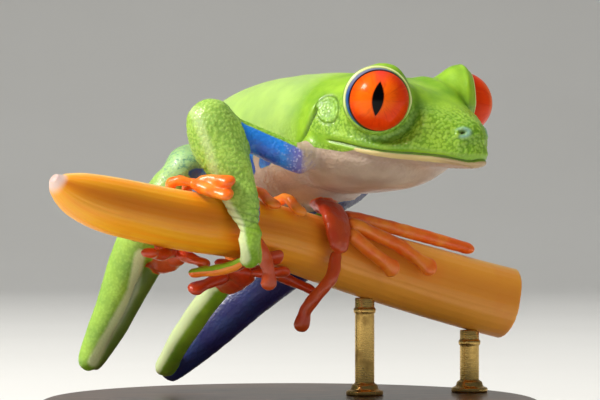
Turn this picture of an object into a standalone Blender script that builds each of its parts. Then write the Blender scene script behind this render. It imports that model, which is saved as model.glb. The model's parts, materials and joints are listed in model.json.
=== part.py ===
"""A red-eyed tree frog, life size, gripping a cut length of flower bract.

The bract stands on two thin rods in a flat oval base. The animal is one pose,
so nothing moves. The body is a run of cross-sections along a bent spine, the
limbs are tapering sweeps, and each piece is parted from the next by a thin cut.

Sizes are in millimetres and are turned into metres when a mesh is made.
Points are measured from a working point in the gap between chin and bract:
X to the right, Y away from the front, Z up.
"""

import math

import bpy
import numpy as np
from mathutils import Matrix, Vector

MM = 0.001
GAP = 0.3  # clear space left between neighbouring pieces
HALF_CUT = GAP / 2

# The working point, seen from the middle of the stand's underside.
WORK_POINT = Vector((1.0, -7.5, 24.0))
UP = Vector((0.0, 0.0, 1.0))
FRONT = Vector((0.0, -1.0, 0.0))

# The stand.
BASE_HALF_LENGTH = 26.0
BASE_HALF_DEPTH = 27.0
BASE_THICKNESS = 4.0
BASE_EDGE_ROUND = 0.8
ROD_RADIUS = 1.0
ROD_SOCKET_DEPTH = 2.5
ROD_PLACES = (6.8, 17.6)  # along X, under the bract's middle line

# The head and the spine.
EYE_LINE = Vector((11.9, 0.0, 9.9))  # midway between the eyeballs
HEAD_YAW = math.radians(40.0)
HEAD_PITCH = math.radians(6.0)
TRUNK_YAW = math.radians(60.0)
BEND_START = 4.0  # the neck bends between these distances behind the eyes
BEND_END = 15.0
NECK_CUT = 8.4
EYE_RADIUS = 3.0
EYE_SIDE = 6.7
LID_RADIUS = 3.65
LID_OPENING = math.radians(72.0)
EYE_TURN = math.radians(40.0)  # the pupil's line, forward of straight sideways
BODY_SIDES = 18
BALL_SIDES = 12
LIMB_SIDES = 8

# Cross-sections of head and trunk: distance behind the eyes, half width,
# then the heights of the top, of the widest level and of the underside.
BODY_SECTIONS = (
    (-8.00, 0.60, -3.20, -4.45, -5.55),
    (-7.75, 1.15, -2.50, -4.40, -5.85),
    (-7.10, 2.00, -1.75, -4.40, -6.00),
    (-5.60, 3.75, -1.00, -4.40, -6.30),
    (-4.00, 5.25, -0.10, -4.45, -6.47),
    (-2.40, 6.30, 0.75, -4.40, -6.50),
    (-1.30, 6.82, 1.13, -4.35, -6.75),
    (-0.40, 7.15, 1.40, -4.30, -7.50),
    (0.60, 7.40, 1.60, -4.25, -8.50),
    (1.60, 7.68, 1.82, -4.20, -9.05),
    (3.60, 8.05, 2.05, -4.20, -9.50),
    (6.00, 8.20, 2.10, -4.30, -9.95),
    (8.40, 7.95, 2.10, -4.60, -10.20),
    (11.00, 7.80, 2.10, -4.90, -10.00),
    (14.50, 8.00, 2.00, -5.30, -11.30),
    (18.50, 8.40, 1.85, -5.80, -12.20),
    (22.50, 8.40, 1.45, -6.10, -12.45),
    (26.50, 7.80, 0.70, -6.50, -12.40),
    (30.50, 6.60, -0.60, -7.00, -12.10),
    (34.00, 5.20, -2.30, -7.60, -11.80),
    (37.00, 3.60, -4.60, -8.30, -11.30),
    (38.80, 1.90, -6.90, -8.90, -10.70),
)

# The mouth, seen from the side: distance behind the eyes and height.
MOUTH_LINE = (
    (8.80, -4.55),
    (6.90, -4.40),
    (3.30, -4.70),
    (0.90, -5.00),
    (-2.00, -5.15),
    (-4.70, -5.05),
    (-6.40, -5.10),
    (-7.30, -5.45),
    (-9.00, -5.60),
)

# The bract's middle line: X, Y, Z and radius, from its tip to the cut end.
PERCH_LINE = (
    (-23.1, -14.7, 2.05, 0.5),
    (-22.4, -14.1, 1.30, 1.35),
    (-21.0, -12.9, 0.50, 2.15),
    (-18.6, -10.9, -0.35, 2.65),
    (-15.6, -8.2, -1.10, 2.80),
    (-11.4, -4.6, -2.00, 2.90),
    (-5.9, 0.3, -2.80, 3.00),
    (-1.5, 5.0, -3.90, 3.10),
    (3.0, 9.5, -5.40, 3.30),
    (10.5, 14.0, -7.70, 3.55),
    (17.0, 16.9, -9.60, 3.65),
    (21.5, 18.7, -10.80, 3.70),
)
PERCH_SIDES = 16
GROOVE_DEPTH = 0.09  # of the radius
GROOVE_PLACE = math.radians(80.0)  # from the top, toward the front
GROOVE_SPREAD = math.radians(26.0)

DIGIT_RADIUS = 0.58
DISC_HALF_WIDTH = 0.92
DISC_HALF_DEPTH = 0.46

DOME_ANGLES = (35.0, 70.0)
LEAST_FACING = 0.45  # sine of the angle between path and facing

COLOURS = {
    "skin_green": (0.33, 0.62, 0.06),
    "skin_cream": (0.80, 0.72, 0.62),
    "skin_orange": (0.85, 0.22, 0.04),
    "skin_blue": (0.04, 0.19, 0.62),
    "eye_red": (0.70, 0.05, 0.01),
    "bract_yellow": (0.85, 0.42, 0.02),
    "stand_wood": (0.10, 0.06, 0.04),
    "stand_brass": (0.62, 0.52, 0.33),
}


# ---------------------------------------------------------------- helpers


def clear_scene():
    for old in list(bpy.data.objects):
        bpy.data.objects.remove(old, do_unlink=True)


def new_collection(name):
    collection = bpy.data.collections.new(name)
    bpy.context.scene.collection.children.link(collection)
    return collection


def make_material(name, roughness=0.4, metallic=0.0):
    material = bpy.data.materials.new(name)
    material.use_nodes = True
    shader = material.node_tree.nodes["Principled BSDF"]
    shader.inputs["Base Color"].default_value = (*COLOURS[name], 1.0)
    shader.inputs["Roughness"].default_value = roughness
    shader.inputs["Metallic"].default_value = metallic
    material.diffuse_color = (*COLOURS[name], 1.0)
    return material


def curve_through(rows, steps):
    """Points on a smooth curve through the rows, with the rows' other columns carried along."""
    rows = np.array(rows, float)
    padded = np.vstack([2 * rows[0] - rows[1], rows, 2 * rows[-1] - rows[-2]])
    points = []
    for before, start, end, after in zip(padded, padded[1:], padded[2:], padded[3:]):
        for t in np.arange(steps) / steps:
            points.append(
                0.5
                * (
                    2 * start
                    + (end - before) * t
                    + (2 * before - 5 * start + 4 * end - after) * t**2
                    + (3 * start - before - 3 * end + after) * t**3
                )
            )
    points.append(rows[-1])
    return np.array(points)


def mesh_object(name, rings, collection, material=None):
    """Skin a run of equal rings and close both ends."""
    count = len(rings[0])
    points = [(WORK_POINT + point) * MM for ring in rings for point in ring]
    faces = [list(range(count))[::-1]]
    for start in range(0, (len(rings) - 1) * count, count):
        for i in range(count):
            near, next_near = start + i, start + (i + 1) % count
            far, next_far = near + count, next_near + count
            faces.append((near, next_near, next_far))
            faces.append((near, next_far, far))
    faces.append(list(range(len(points) - count, len(points))))
    mesh = bpy.data.meshes.new(name)
    mesh.from_pydata([point[:] for point in points], [], faces)
    mesh.shade_smooth()
    if material:
        mesh.materials.append(material)
    made = bpy.data.objects.new(name, mesh)
    collection.objects.link(made)
    return made


def mesh_volume(mesh):
    mesh.calc_loop_triangles()
    total = 0.0
    for triangle in mesh.loop_triangles:
        a, b, c = (mesh.vertices[i].co for i in triangle.vertices)
        total += a.dot(b.cross(c))
    return total


def face_outward(made):
    if mesh_volume(made.data) < 0:
        made.data.flip_normals()


def as_cutter(made):
    made.hide_render = True
    made.display_type = "WIRE"
    face_outward(made)
    return made


def boolean(made, other, operation="DIFFERENCE"):
    modifier = made.modifiers.new(f"{operation.lower()} {other.name}", "BOOLEAN")
    modifier.operation = operation
    modifier.solver = "EXACT"
    modifier.object = other


def sharp_edges(made, angle=50.0):
    made.data.set_sharp_from_angle(angle=math.radians(angle))


# ------------------------------------------------------- the spine and body


def spine_yaw(distance):
    """Heading of the body at a distance behind the eyes."""
    t = min(max((distance - BEND_START) / (BEND_END - BEND_START), 0.0), 1.0)
    blend = t * t * (3 - 2 * t)
    return HEAD_YAW + (TRUNK_YAW - HEAD_YAW) * blend, HEAD_PITCH * (1 - blend)


def spine_axes(distance):
    """Forward, left and up at a distance behind the eyes."""
    yaw, pitch = spine_yaw(distance)
    left = Vector((math.sin(yaw), math.cos(yaw), 0.0))
    level = Vector((math.cos(yaw), -math.sin(yaw), 0.0))
    forward = level * math.cos(pitch) - UP * math.sin(pitch)
    return forward, left, left.cross(-forward).normalized()


def on_body(distance, side=0.0, height=0.0):
    """A point behind the eyes, off to the left and above the eye line."""
    spot = EYE_LINE.copy()
    step = 0.25
    walked = 0.0
    while walked + step <= distance:
        spot -= spine_axes(walked + step / 2)[0] * step
        walked += step
    forward, left, up = spine_axes(distance)
    spot -= forward * (distance - walked)
    return spot + left * side + up * height


def body_ring(distance, half_width, top, middle, bottom):
    """One cross-section, rounder below than above."""
    ring = []
    for i in range(BODY_SIDES):
        angle = 2 * math.pi * i / BODY_SIDES
        side, rise = math.cos(angle), math.sin(angle)
        power = 2 / 2.35 if rise > 0 else 2 / 2.15
        across = half_width * math.copysign(abs(side) ** power, side)
        reach = top - middle if rise > 0 else middle - bottom
        height = middle + reach * math.copysign(abs(rise) ** power, rise)
        ring.append(on_body(distance, across, height))
    return ring


def body_rings(start, end, grow=0.0):
    """Cross-sections from start to end, with one exactly at each of them."""
    table = curve_through(BODY_SECTIONS, 4)
    places = [row[0] for row in BODY_SECTIONS if start + 0.1 < row[0] < end - 0.1]
    rings = []
    for place in [start, *places, end]:
        width, top, middle, bottom = (
            np.interp(place, table[:, 0], table[:, column]) for column in range(1, 5)
        )
        rings.append(
            body_ring(place, width + grow, top + grow, middle, bottom - grow)
        )
    return rings


def eye_axes(side):
    """Middle of an eyeball and the line it looks along; side is 1 for left, -1 for right."""
    forward, left, _ = spine_axes(0.0)
    look = left * side * math.cos(EYE_TURN) + forward * math.sin(EYE_TURN)
    look.z = 0.0
    return on_body(0.0, EYE_SIDE * side, 0.0), look.normalized()


def ball_rings(middle, axis, radius, start, end, count, sides):
    """Rings of a ball round an axis, between two angles from that axis."""
    across = axis.cross(UP).normalized()
    upward = across.cross(axis).normalized()
    rings = []
    for step in range(count + 1):
        angle = start + (end - start) * step / count
        ring = []
        for i in range(sides):
            turn = 2 * math.pi * i / sides
            spoke = across * math.cos(turn) + upward * math.sin(turn)
            offset = axis * math.cos(angle) + spoke * math.sin(angle)
            ring.append(middle + offset * radius)
        rings.append(ring)
    return rings


def eye_ball(name, side, collection, radius, material=None):
    middle, look = eye_axes(side)
    pole = math.radians(6.0)
    rings = ball_rings(middle, look, radius, pole, math.pi - pole, 9, BALL_SIDES)
    made = mesh_object(name, rings, collection, material)
    face_outward(made)
    return made


def lid_bulge(side, cutters):
    """The skin that stands up round the back of an eyeball."""
    middle, look = eye_axes(side)
    rings = ball_rings(
        middle, look, LID_RADIUS, LID_OPENING, math.radians(160.0), 5, BALL_SIDES
    )
    return as_cutter(mesh_object(f"lid_bulge_{side}", rings, cutters))


def mouth_block(name, offset, cutters):
    """All that lies below the mouth line, as far back as the neck."""
    line = [(distance, height + offset) for distance, height in MOUTH_LINE]
    outline = [*line, (-9.0, -14.0), (8.8, -14.0)]
    rings = []
    for side in (-12.0, 12.0):
        forward, left, up = spine_axes(0.0)
        rings.append(
            [
                EYE_LINE - forward * distance + left * side + up * height
                for distance, height in outline
            ]
        )
    return as_cutter(mesh_object(name, rings, cutters))


# ---------------------------------------------------------------- the bract

PERCH_TABLE = curve_through(PERCH_LINE, 8)


def perch_near(point):
    """Nearest point of the bract's middle line, the radius there and its direction."""
    offsets = PERCH_TABLE[:, :3] - np.array(point)
    nearest = int((offsets**2).sum(axis=1).argmin())
    before = PERCH_TABLE[max(nearest - 1, 0)]
    after = PERCH_TABLE[min(nearest + 1, len(PERCH_TABLE) - 1)]
    along = Vector(after[:3] - before[:3]).normalized()
    middle = Vector(PERCH_TABLE[nearest][:3])
    middle += along * (Vector(point) - middle).dot(along)
    return middle, float(PERCH_TABLE[nearest][3]), along


def away_from_perch(point):
    middle, _, _ = perch_near(point)
    return (Vector(point) - middle).normalized()


def lay(x, y, z, half_depth=DIGIT_RADIUS):
    """The point moved so that a piece this thick rests on the bract there."""
    middle, radius, _ = perch_near((x, y, z))
    return middle + away_from_perch((x, y, z)) * (radius + half_depth + GAP)


def perch_rings(grow=0.0):
    table = np.array(PERCH_LINE)
    rings = []
    for index, row in enumerate(table):
        before = table[max(index - 1, 0)]
        after = table[min(index + 1, len(table) - 1)]
        along = Vector(after[:3] - before[:3]).normalized()
        toward_front = along.cross(UP).normalized()
        upward = toward_front.cross(along)
        ring = []
        for i in range(PERCH_SIDES):
            angle = 2 * math.pi * i / PERCH_SIDES
            apart = (angle - GROOVE_PLACE) / GROOVE_SPREAD
            radius = row[3] * (1 - GROOVE_DEPTH * math.exp(-(apart**2))) + grow
            spoke = upward * math.cos(angle) + toward_front * math.sin(angle)
            ring.append(Vector(row[:3]) + spoke * radius)
        rings.append(ring)
    return rings


# ------------------------------------------------------------------- limbs


def steady_across(along, toward, last):
    """The ring's width direction, kept from spinning where the path turns toward the facing."""
    across = along.cross(toward)
    if last is not None:
        carried = (last - along * last.dot(along)).normalized()
        if across.length < LEAST_FACING:
            return carried
        if across.dot(carried) < 0:
            across = -across
    return across.normalized()


def sweep_rings(rows, facing, sides, steps, grow=0.0, round_start=True, round_end=True):
    """Oval rings along a smooth path.

    A row is X, Y, Z, half width and half depth. The depth is measured along
    facing, which is a direction or a function of the point. A rounded end
    gains a dome, and grow makes the whole sweep larger by that much.
    """
    table = curve_through(rows, steps)
    spots = [Vector(row[:3]) for row in table]
    stations = []
    for index, spot in enumerate(spots):
        before = spots[max(index - 1, 0)]
        after = spots[min(index + 1, len(spots) - 1)]
        along = (after - before).normalized()
        width, depth = table[index][3:5]
        stations.append((spot, along, width + grow, depth + grow))
    dome = [math.radians(angle) for angle in DOME_ANGLES]
    if round_start:
        spot, along, width, depth = stations[0]
        reach = (width + depth) / 2
        stations = [
            (
                spot - along * reach * math.sin(angle),
                along,
                width * math.cos(angle),
                depth * math.cos(angle),
            )
            for angle in reversed(dome)
        ] + stations
    if round_end:
        spot, along, width, depth = stations[-1]
        reach = (width + depth) / 2
        stations += [
            (
                spot + along * reach * math.sin(angle),
                along,
                width * math.cos(angle),
                depth * math.cos(angle),
            )
            for angle in dome
        ]
    rings = []
    last_across = None
    for spot, along, width, depth in stations:
        toward = facing(spot) if callable(facing) else facing
        across = steady_across(along, toward, last_across)
        outward = across.cross(along)
        last_across = across
        ring = []
        for i in range(sides):
            angle = 2 * math.pi * i / sides
            ring.append(
                spot
                + across * width * math.cos(angle)
                + outward * depth * math.sin(angle)
            )
        rings.append(ring)
    return rings


class Builder:
    """Makes the flesh pieces in order, each cut clear of those it meets."""

    def __init__(self, parts, cutters):
        self.parts = parts
        self.cutters = cutters
        self.recipes = {}
        grown_perch = mesh_object("clear_of_perch", perch_rings(GAP), cutters)
        self.clearances = {"perch": as_cutter(grown_perch)}

    def clearance(self, name):
        """A copy of a piece's own form, larger by the gap, as a cutter."""
        if name not in self.clearances:
            rows, facing, sides, steps, ends = self.recipes[name]
            rings = sweep_rings(rows, facing, sides, steps, GAP, *ends)
            made = mesh_object(f"clear_of_{name}", rings, self.cutters)
            self.clearances[name] = as_cutter(made)
        return self.clearances[name]

    def limb(
        self,
        name,
        rows,
        facing,
        material,
        beside=(),
        sides=LIMB_SIDES,
        steps=2,
        ends=(True, True),
    ):
        self.recipes[name] = (rows, facing, sides, steps, ends)
        rings = sweep_rings(rows, facing, sides, steps, 0.0, *ends)
        made = mesh_object(name, rings, self.parts, material)
        face_outward(made)
        for other in beside:
            boolean(made, self.clearance(other))
        return made

    def digit(self, name, path, material, beside, thickness=DIGIT_RADIUS):
        """A finger or toe with its round flat disc; it starts inside the hand or foot."""
        path = [Vector(point) for point in path]
        last = (path[-1] - path[-2]).normalized()
        rows = [(*point, thickness, thickness * 0.92) for point in path[:-1]]
        neck = path[-1] - last * DISC_HALF_WIDTH * 1.3
        rows.append((*neck, thickness * 0.95, thickness * 0.8))
        rows.append((*path[-1], DISC_HALF_WIDTH, DISC_HALF_DEPTH))
        return self.limb(name, rows, away_from_perch, material, beside, 6, 2, (False, True))


# ------------------------------------------------------------- the assembly


def build_body(builder, paint):
    parts, cutters = builder.parts, builder.cutters
    snout = BODY_SECTIONS[0][0]
    vent = BODY_SECTIONS[-1][0]

    head = mesh_object(
        "head", body_rings(snout, NECK_CUT - HALF_CUT), parts, paint["skin_green"]
    )
    jaw = mesh_object(
        "lower_jaw", body_rings(snout, NECK_CUT - HALF_CUT), parts, paint["skin_cream"]
    )
    trunk = mesh_object(
        "trunk", body_rings(NECK_CUT + HALF_CUT, vent), parts, paint["skin_green"]
    )
    for made in (head, jaw, trunk):
        face_outward(made)

    for side in (-1, 1):
        boolean(head, lid_bulge(side, cutters), "UNION")
    for side, name in ((-1, "right"), (1, "left")):
        socket = eye_ball(f"socket_{name}", side, cutters, EYE_RADIUS + GAP)
        boolean(head, as_cutter(socket))
        eye_ball(f"eye_{name}", side, parts, EYE_RADIUS, paint["eye_red"])
    boolean(head, mouth_block("above_mouth", HALF_CUT, cutters))
    boolean(jaw, mouth_block("below_mouth", -HALF_CUT, cutters), "INTERSECT")

    whole = mesh_object("clear_of_body", body_rings(snout, vent, GAP), cutters)
    builder.clearances["body"] = as_cutter(whole)


def build_right_arm(builder, paint):
    green, orange = paint["skin_green"], paint["skin_orange"]
    builder.limb(
        "forearm_right",
        (
            (-8.75, -2.6, 7.6, 2.5, 2.2),
            (-8.05, -2.9, 5.5, 2.7, 2.1),
            (-7.0, -3.3, 3.4, 2.3, 1.9),
            (-6.35, -3.6, 1.4, 2.05, 1.7),
            (-5.7, -4.2, -0.2, 1.8, 1.45),
            (-5.1, -4.9, -1.6, 1.4, 1.1),
        ),
        FRONT,
        green,
        ["perch"],
        sides=12,
    )
    builder.limb(
        "upper_arm_right",
        (
            (*on_body(8.6, -5.6, -6.2), 2.0, 2.0),
            (0.3, -1.3, 3.9, 1.6, 1.6),
            (-3.4, -1.5, 5.4, 1.45, 1.45),
            (-8.2, -1.8, 7.6, 1.4, 1.4),
        ),
        FRONT,
        paint["skin_blue"],
        ["body", "forearm_right"],
    )
    builder.limb(
        "hand_right",
        (
            (-5.1, -4.9, -1.6, 1.2, 0.95),
            (-4.9, -5.0, -3.0, 1.2, 0.9),
            (-4.9, -4.8, -4.6, 1.1, 0.85),
            (-4.8, -4.2, -5.8, 0.95, 0.8),
        ),
        FRONT,
        green,
        ["forearm_right"],
        ends=(False, True),
    )
    fingers = (
        (
            (-4.2, -4.1, -4.0),
            (-3.4, -3.8, -5.4),
            (-3.05, -3.6, -6.8),
            (-3.0, -3.5, -8.1),
        ),
        ((-4.5, -3.9, -5.4), lay(-3.3, -2.4, -6.6), lay(-1.5, -1.2, -6.6)),
        ((-4.9, -3.6, -5.5), lay(-6.3, -1.0, -7.0), lay(-7.6, 0.6, -6.2)),
        (
            (-4.9, -4.2, -5.5),
            (-6.4, -3.8, -6.4),
            (-8.2, -3.4, -6.9),
            (-10.2, -3.0, -7.1),
        ),
    )
    for number, path in enumerate(fingers, 1):
        earlier = [f"finger_{n}_right" for n in range(1, number)]
        builder.digit(f"finger_{number}_right", path, orange, ["hand_right", *earlier])


def build_left_arm(builder, paint):
    green, orange = paint["skin_green"], paint["skin_orange"]
    builder.limb(
        "forearm_left",
        (
            (6.6, 19.4, 3.0, 1.85, 1.85),
            (5.4, 16.2, 1.3, 1.75, 1.7),
            (3.9, 13.2, 0.0, 1.4, 1.3),
            (2.8, 11.4, -0.6, 1.2, 1.0),
        ),
        UP,
        green,
        ["body"],
    )
    builder.limb(
        "upper_arm_left",
        (
            (*on_body(8.6, 5.6, -6.2), 2.0, 2.0),
            (*on_body(9.4, 8.0, -6.4), 1.7, 1.7),
            (9.0, 16.0, 3.9, 1.5, 1.5),
            (7.0, 19.2, 3.4, 1.45, 1.45),
        ),
        FRONT,
        paint["skin_blue"],
        ["body", "forearm_left"],
    )
    builder.limb(
        "hand_left",
        (
            (2.8, 11.4, -0.6, 1.15, 0.95),
            (*lay(2.5, 9.6, -1.2, 0.9), 1.5, 0.85),
            (*lay(2.7, 7.8, -1.7, 0.85), 1.85, 0.8),
            (*lay(2.9, 6.0, -2.9, 0.8), 1.9, 0.75),
            (*lay(3.2, 5.2, -4.4, 0.75), 1.5, 0.7),
        ),
        away_from_perch,
        orange,
        ["forearm_left", "body"],
        ends=(False, True),
    )
    fingers = (
        (
            lay(3.5, 5.6, -4.0),
            lay(3.7, 4.6, -5.8),
            (3.1, 3.6, -7.8),
            (1.6, 3.4, -9.6),
            (0.6, 3.5, -11.0),
            (0.2, 3.6, -12.4),
        ),
        (lay(4.0, 6.6, -2.8), lay(6.3, 7.0, -4.6), lay(9.2, 8.6, -6.9)),
        (
            lay(4.1, 7.4, -2.3),
            lay(7.0, 8.8, -3.6),
            lay(9.6, 10.3, -5.2),
            lay(12.4, 11.8, -7.2),
        ),
        (
            lay(4.0, 8.6, -1.8),
            lay(8.0, 11.6, -3.0),
            lay(12.6, 14.6, -4.4),
            lay(17.2, 16.8, -5.4),
        ),
    )
    for number, path in enumerate(fingers, 1):
        earlier = [f"finger_{n}_left" for n in range(1, number)]
        builder.digit(f"finger_{number}_left", path, orange, ["hand_left", *earlier])


def build_right_leg(builder, paint):
    green, orange = paint["skin_green"], paint["skin_orange"]
    builder.limb(
        "thigh_right",
        (
            (*on_body(34.0, -2.6, -7.6), 2.6, 2.6),
            (-10.7, 23.0, 3.0, 3.1, 2.9),
            (-11.1, 15.5, 3.2, 2.9, 2.8),
            (-11.3, 9.0, 3.3, 2.45, 2.35),
            (-11.5, 3.4, 3.2, 2.1, 2.0),
        ),
        UP,
        green,
        ["body"],
    )
    builder.limb(
        "shank_right",
        (
            (-11.7, 3.0, 3.0, 1.95, 1.85),
            (-13.6, 2.2, 0.2, 2.1, 1.9),
            (-15.9, 2.2, -3.6, 2.1, 1.85),
            (-17.5, 2.5, -6.8, 1.85, 1.65),
            (-18.7, 2.9, -10.2, 1.6, 1.45),
            (-20.1, 3.3, -13.4, 1.35, 1.25),
            (-21.1, 3.6, -16.0, 1.15, 1.1),
        ),
        FRONT,
        green,
        ["thigh_right"],
        ends=(False, True),
    )
    builder.limb(
        "tarsus_right",
        (
            (-20.6, 4.6, -16.2, 1.05, 1.0),
            (-18.5, 5.5, -13.0, 1.1, 1.0),
            (-16.8, 5.5, -9.8, 1.2, 1.05),
            (-15.0, 4.8, -6.6, 1.35, 1.1),
        ),
        FRONT,
        green,
        ["shank_right"],
    )
    builder.limb(
        "foot_right",
        (
            (-15.0, 4.8, -6.6, 1.3, 1.0),
            (-13.7, 2.8, -5.8, 1.8, 0.9),
            (-12.6, 0.6, -4.9, 2.0, 0.8),
        ),
        away_from_perch,
        orange,
        ["tarsus_right", "shank_right"],
        ends=(False, True),
    )
    toes = (
        (
            (-12.0, 0.8, -4.6),
            lay(-11.6, 0.2, -2.2),
            lay(-10.9, -2.8, 1.0),
            lay(-9.9, -5.3, 0.6),
            (-8.4, -6.0, 0.75),
            (-7.1, -6.5, 0.55),
        ),
        (
            (-12.9, 0.9, -4.6),
            lay(-12.9, -0.8, -2.0),
            lay(-12.5, -4.2, 1.5),
            lay(-10.6, -4.6, 1.3),
            (-8.6, -5.4, 2.0),
            (-7.0, -6.1, 1.85),
        ),
        ((-13.6, 1.2, -5.0), lay(-14.6, -2.6, -3.0), lay(-15.6, -5.0, -2.8)),
        (
            (-13.0, 0.6, -5.4),
            lay(-12.8, -2.4, -5.2),
            lay(-13.4, -5.0, -5.0),
            lay(-14.4, -7.4, -4.6),
        ),
        ((-12.0, 0.4, -5.4), lay(-10.6, -1.8, -5.6), lay(-9.4, -2.4, -5.6)),
    )
    for number, path in enumerate(toes, 1):
        earlier = [f"toe_{n}_right" for n in range(1, number)]
        beside = ["foot_right", "perch", *earlier]
        builder.digit(f"toe_{number}_right", path, orange, beside)


def build_left_leg(builder, paint):
    green, orange = paint["skin_green"], paint["skin_orange"]
    builder.limb(
        "thigh_left",
        (
            (*on_body(34.0, 2.6, -8.0), 2.6, 2.6),
            (-1.6, 27.6, 0.2, 3.1, 2.8),
            (1.8, 23.4, -1.8, 2.6, 2.4),
            (4.6, 19.0, -3.6, 2.1, 2.0),
        ),
        UP,
        green,
        ["body"],
    )
    builder.limb(
        "shank_left",
        (
            (4.6, 18.8, -3.8, 2.0, 1.85),
            (-0.2, 19.0, -6.5, 2.3, 1.9),
            (-5.4, 19.2, -10.3, 2.3, 1.8),
            (-9.6, 19.4, -14.2, 2.05, 1.6),
            (-13.4, 19.4, -17.8, 1.35, 1.2),
        ),
        FRONT,
        paint["skin_blue"],
        ["thigh_left"],
        ends=(False, True),
    )
    builder.limb(
        "tarsus_left",
        (
            (-14.2, 18.2, -17.6, 1.1, 1.0),
            (-12.2, 14.8, -14.2, 1.3, 1.05),
            (-9.9, 11.2, -10.9, 1.35, 1.05),
            (-8.2, 8.6, -8.8, 1.35, 1.05),
        ),
        FRONT,
        green,
        ["shank_left"],
    )
    builder.limb(
        "foot_left",
        (
            (-8.2, 8.6, -8.8, 1.25, 1.0),
            (-7.0, 6.2, -8.0, 1.7, 0.9),
            (-6.0, 3.8, -7.3, 1.8, 0.8),
        ),
        away_from_perch,
        orange,
        ["tarsus_left"],
        ends=(False, True),
    )
    toes = (
        (
            (-6.9, 4.6, -7.6),
            (-8.6, 3.2, -8.1),
            (-10.4, 2.0, -8.8),
        ),
        ((-5.6, 4.0, -7.2), lay(-3.6, 2.6, -8.0), lay(-1.6, 2.2, -7.4)),
        (
            (-5.4, 4.6, -7.0),
            lay(-2.8, 6.4, -6.6),
            lay(-0.6, 8.2, -6.8),
            lay(1.4, 9.6, -8.0),
        ),
        (
            (-6.0, 4.8, -6.9),
            lay(-4.6, 6.0, -4.8),
            lay(-3.2, 6.6, -1.8),
            lay(-1.6, 4.2, -0.6),
            lay(-0.4, 2.4, -1.4),
        ),
        (
            (-6.6, 4.6, -6.9),
            lay(-6.9, 4.0, -4.4),
            lay(-6.1, 3.8, -1.0),
            lay(-4.4, 1.4, 0.0),
            lay(-3.0, -0.2, -0.8),
        ),
    )
    for number, path in enumerate(toes, 1):
        earlier = [f"toe_{n}_left" for n in range(1, number)]
        builder.digit(f"toe_{number}_left", path, orange, ["foot_left", *earlier])


def build_perch(parts, paint):
    perch = mesh_object("perch_bract", perch_rings(), parts, paint["bract_yellow"])
    face_outward(perch)
    sharp_edges(perch)


def build_stand(builder, paint):
    parts, cutters = builder.parts, builder.cutters
    bpy.ops.mesh.primitive_cylinder_add(
        vertices=24, radius=1.0, depth=BASE_THICKNESS * MM, end_fill_type="NGON"
    )
    base = bpy.context.object
    base.name = "stand_base"
    base.data.transform(Matrix.Diagonal((BASE_HALF_LENGTH * MM, BASE_HALF_DEPTH * MM, 1, 1)))
    base.location.z = BASE_THICKNESS / 2 * MM
    base.data.materials.append(paint["stand_wood"])
    edge = base.modifiers.new("rounded edge", "BEVEL")
    edge.width = BASE_EDGE_ROUND * MM
    edge.segments = 2
    edge.limit_method = "ANGLE"
    move_to(base, parts)

    underside = -WORK_POINT.z
    rod_foot = underside + BASE_THICKNESS - ROD_SOCKET_DEPTH + GAP
    for number, x in enumerate(ROD_PLACES, 1):
        row = PERCH_TABLE[int(abs(PERCH_TABLE[:, 0] - x).argmin())]
        foot = Vector((row[0], row[1], rod_foot))
        socket_floor = foot - UP * GAP
        rod = round_bar(
            f"stand_rod_{number}", foot, row[2] - rod_foot, ROD_RADIUS, parts
        )
        rod.data.materials.append(paint["stand_brass"])
        boolean(rod, builder.clearance("perch"))
        socket = round_bar(
            f"rod_socket_{number}", socket_floor, 10.0, ROD_RADIUS + GAP, cutters
        )
        boolean(base, as_cutter(socket))


def round_bar(name, foot, height, radius, collection):
    bpy.ops.mesh.primitive_cylinder_add(
        vertices=16, radius=radius * MM, depth=height * MM, end_fill_type="NGON"
    )
    bar = bpy.context.object
    bar.name = name
    bar.location = (WORK_POINT + foot + UP * height / 2) * MM
    bar.data.shade_smooth()
    bar.data.set_sharp_from_angle(angle=math.radians(40.0))
    move_to(bar, collection)
    return bar


def move_to(made, collection):
    for old in list(made.users_collection):
        old.objects.unlink(made)
    collection.objects.link(made)


def main():
    clear_scene()
    parts = new_collection("red_eyed_tree_frog_model")
    cutters = new_collection("cutters")
    paint = {
        name: make_material(name) for name in COLOURS if not name.startswith("stand_")
    }
    paint["stand_wood"] = make_material("stand_wood", 0.45)
    paint["stand_brass"] = make_material("stand_brass", 0.3, 1.0)
    builder = Builder(parts, cutters)
    build_body(builder, paint)
    build_right_arm(builder, paint)
    build_left_arm(builder, paint)
    build_right_leg(builder, paint)
    build_left_leg(builder, paint)
    build_perch(parts, paint)
    build_stand(builder, paint)


main()
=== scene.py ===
"""A red-eyed tree frog on a cut bract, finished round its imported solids.

One skin replaces all the flesh solids. It is grown from them in two passes, so
that limbs run into the body without a seam, and is then worked in place: eyelids,
mouth, nostrils, ear discs, folds and the fine grain of the skin. The eyeballs, the
bract, the base and the rods are detailed pieces in the places of their solids.
Lengths inside the script are millimetres in the model's own frame, and metres for
the studio.
"""

import json
import math

import bpy
import numpy as np
from bpy.props import FloatProperty, FloatVectorProperty, PointerProperty
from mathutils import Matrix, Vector, noise
from mathutils.bvhtree import BVHTree

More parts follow.
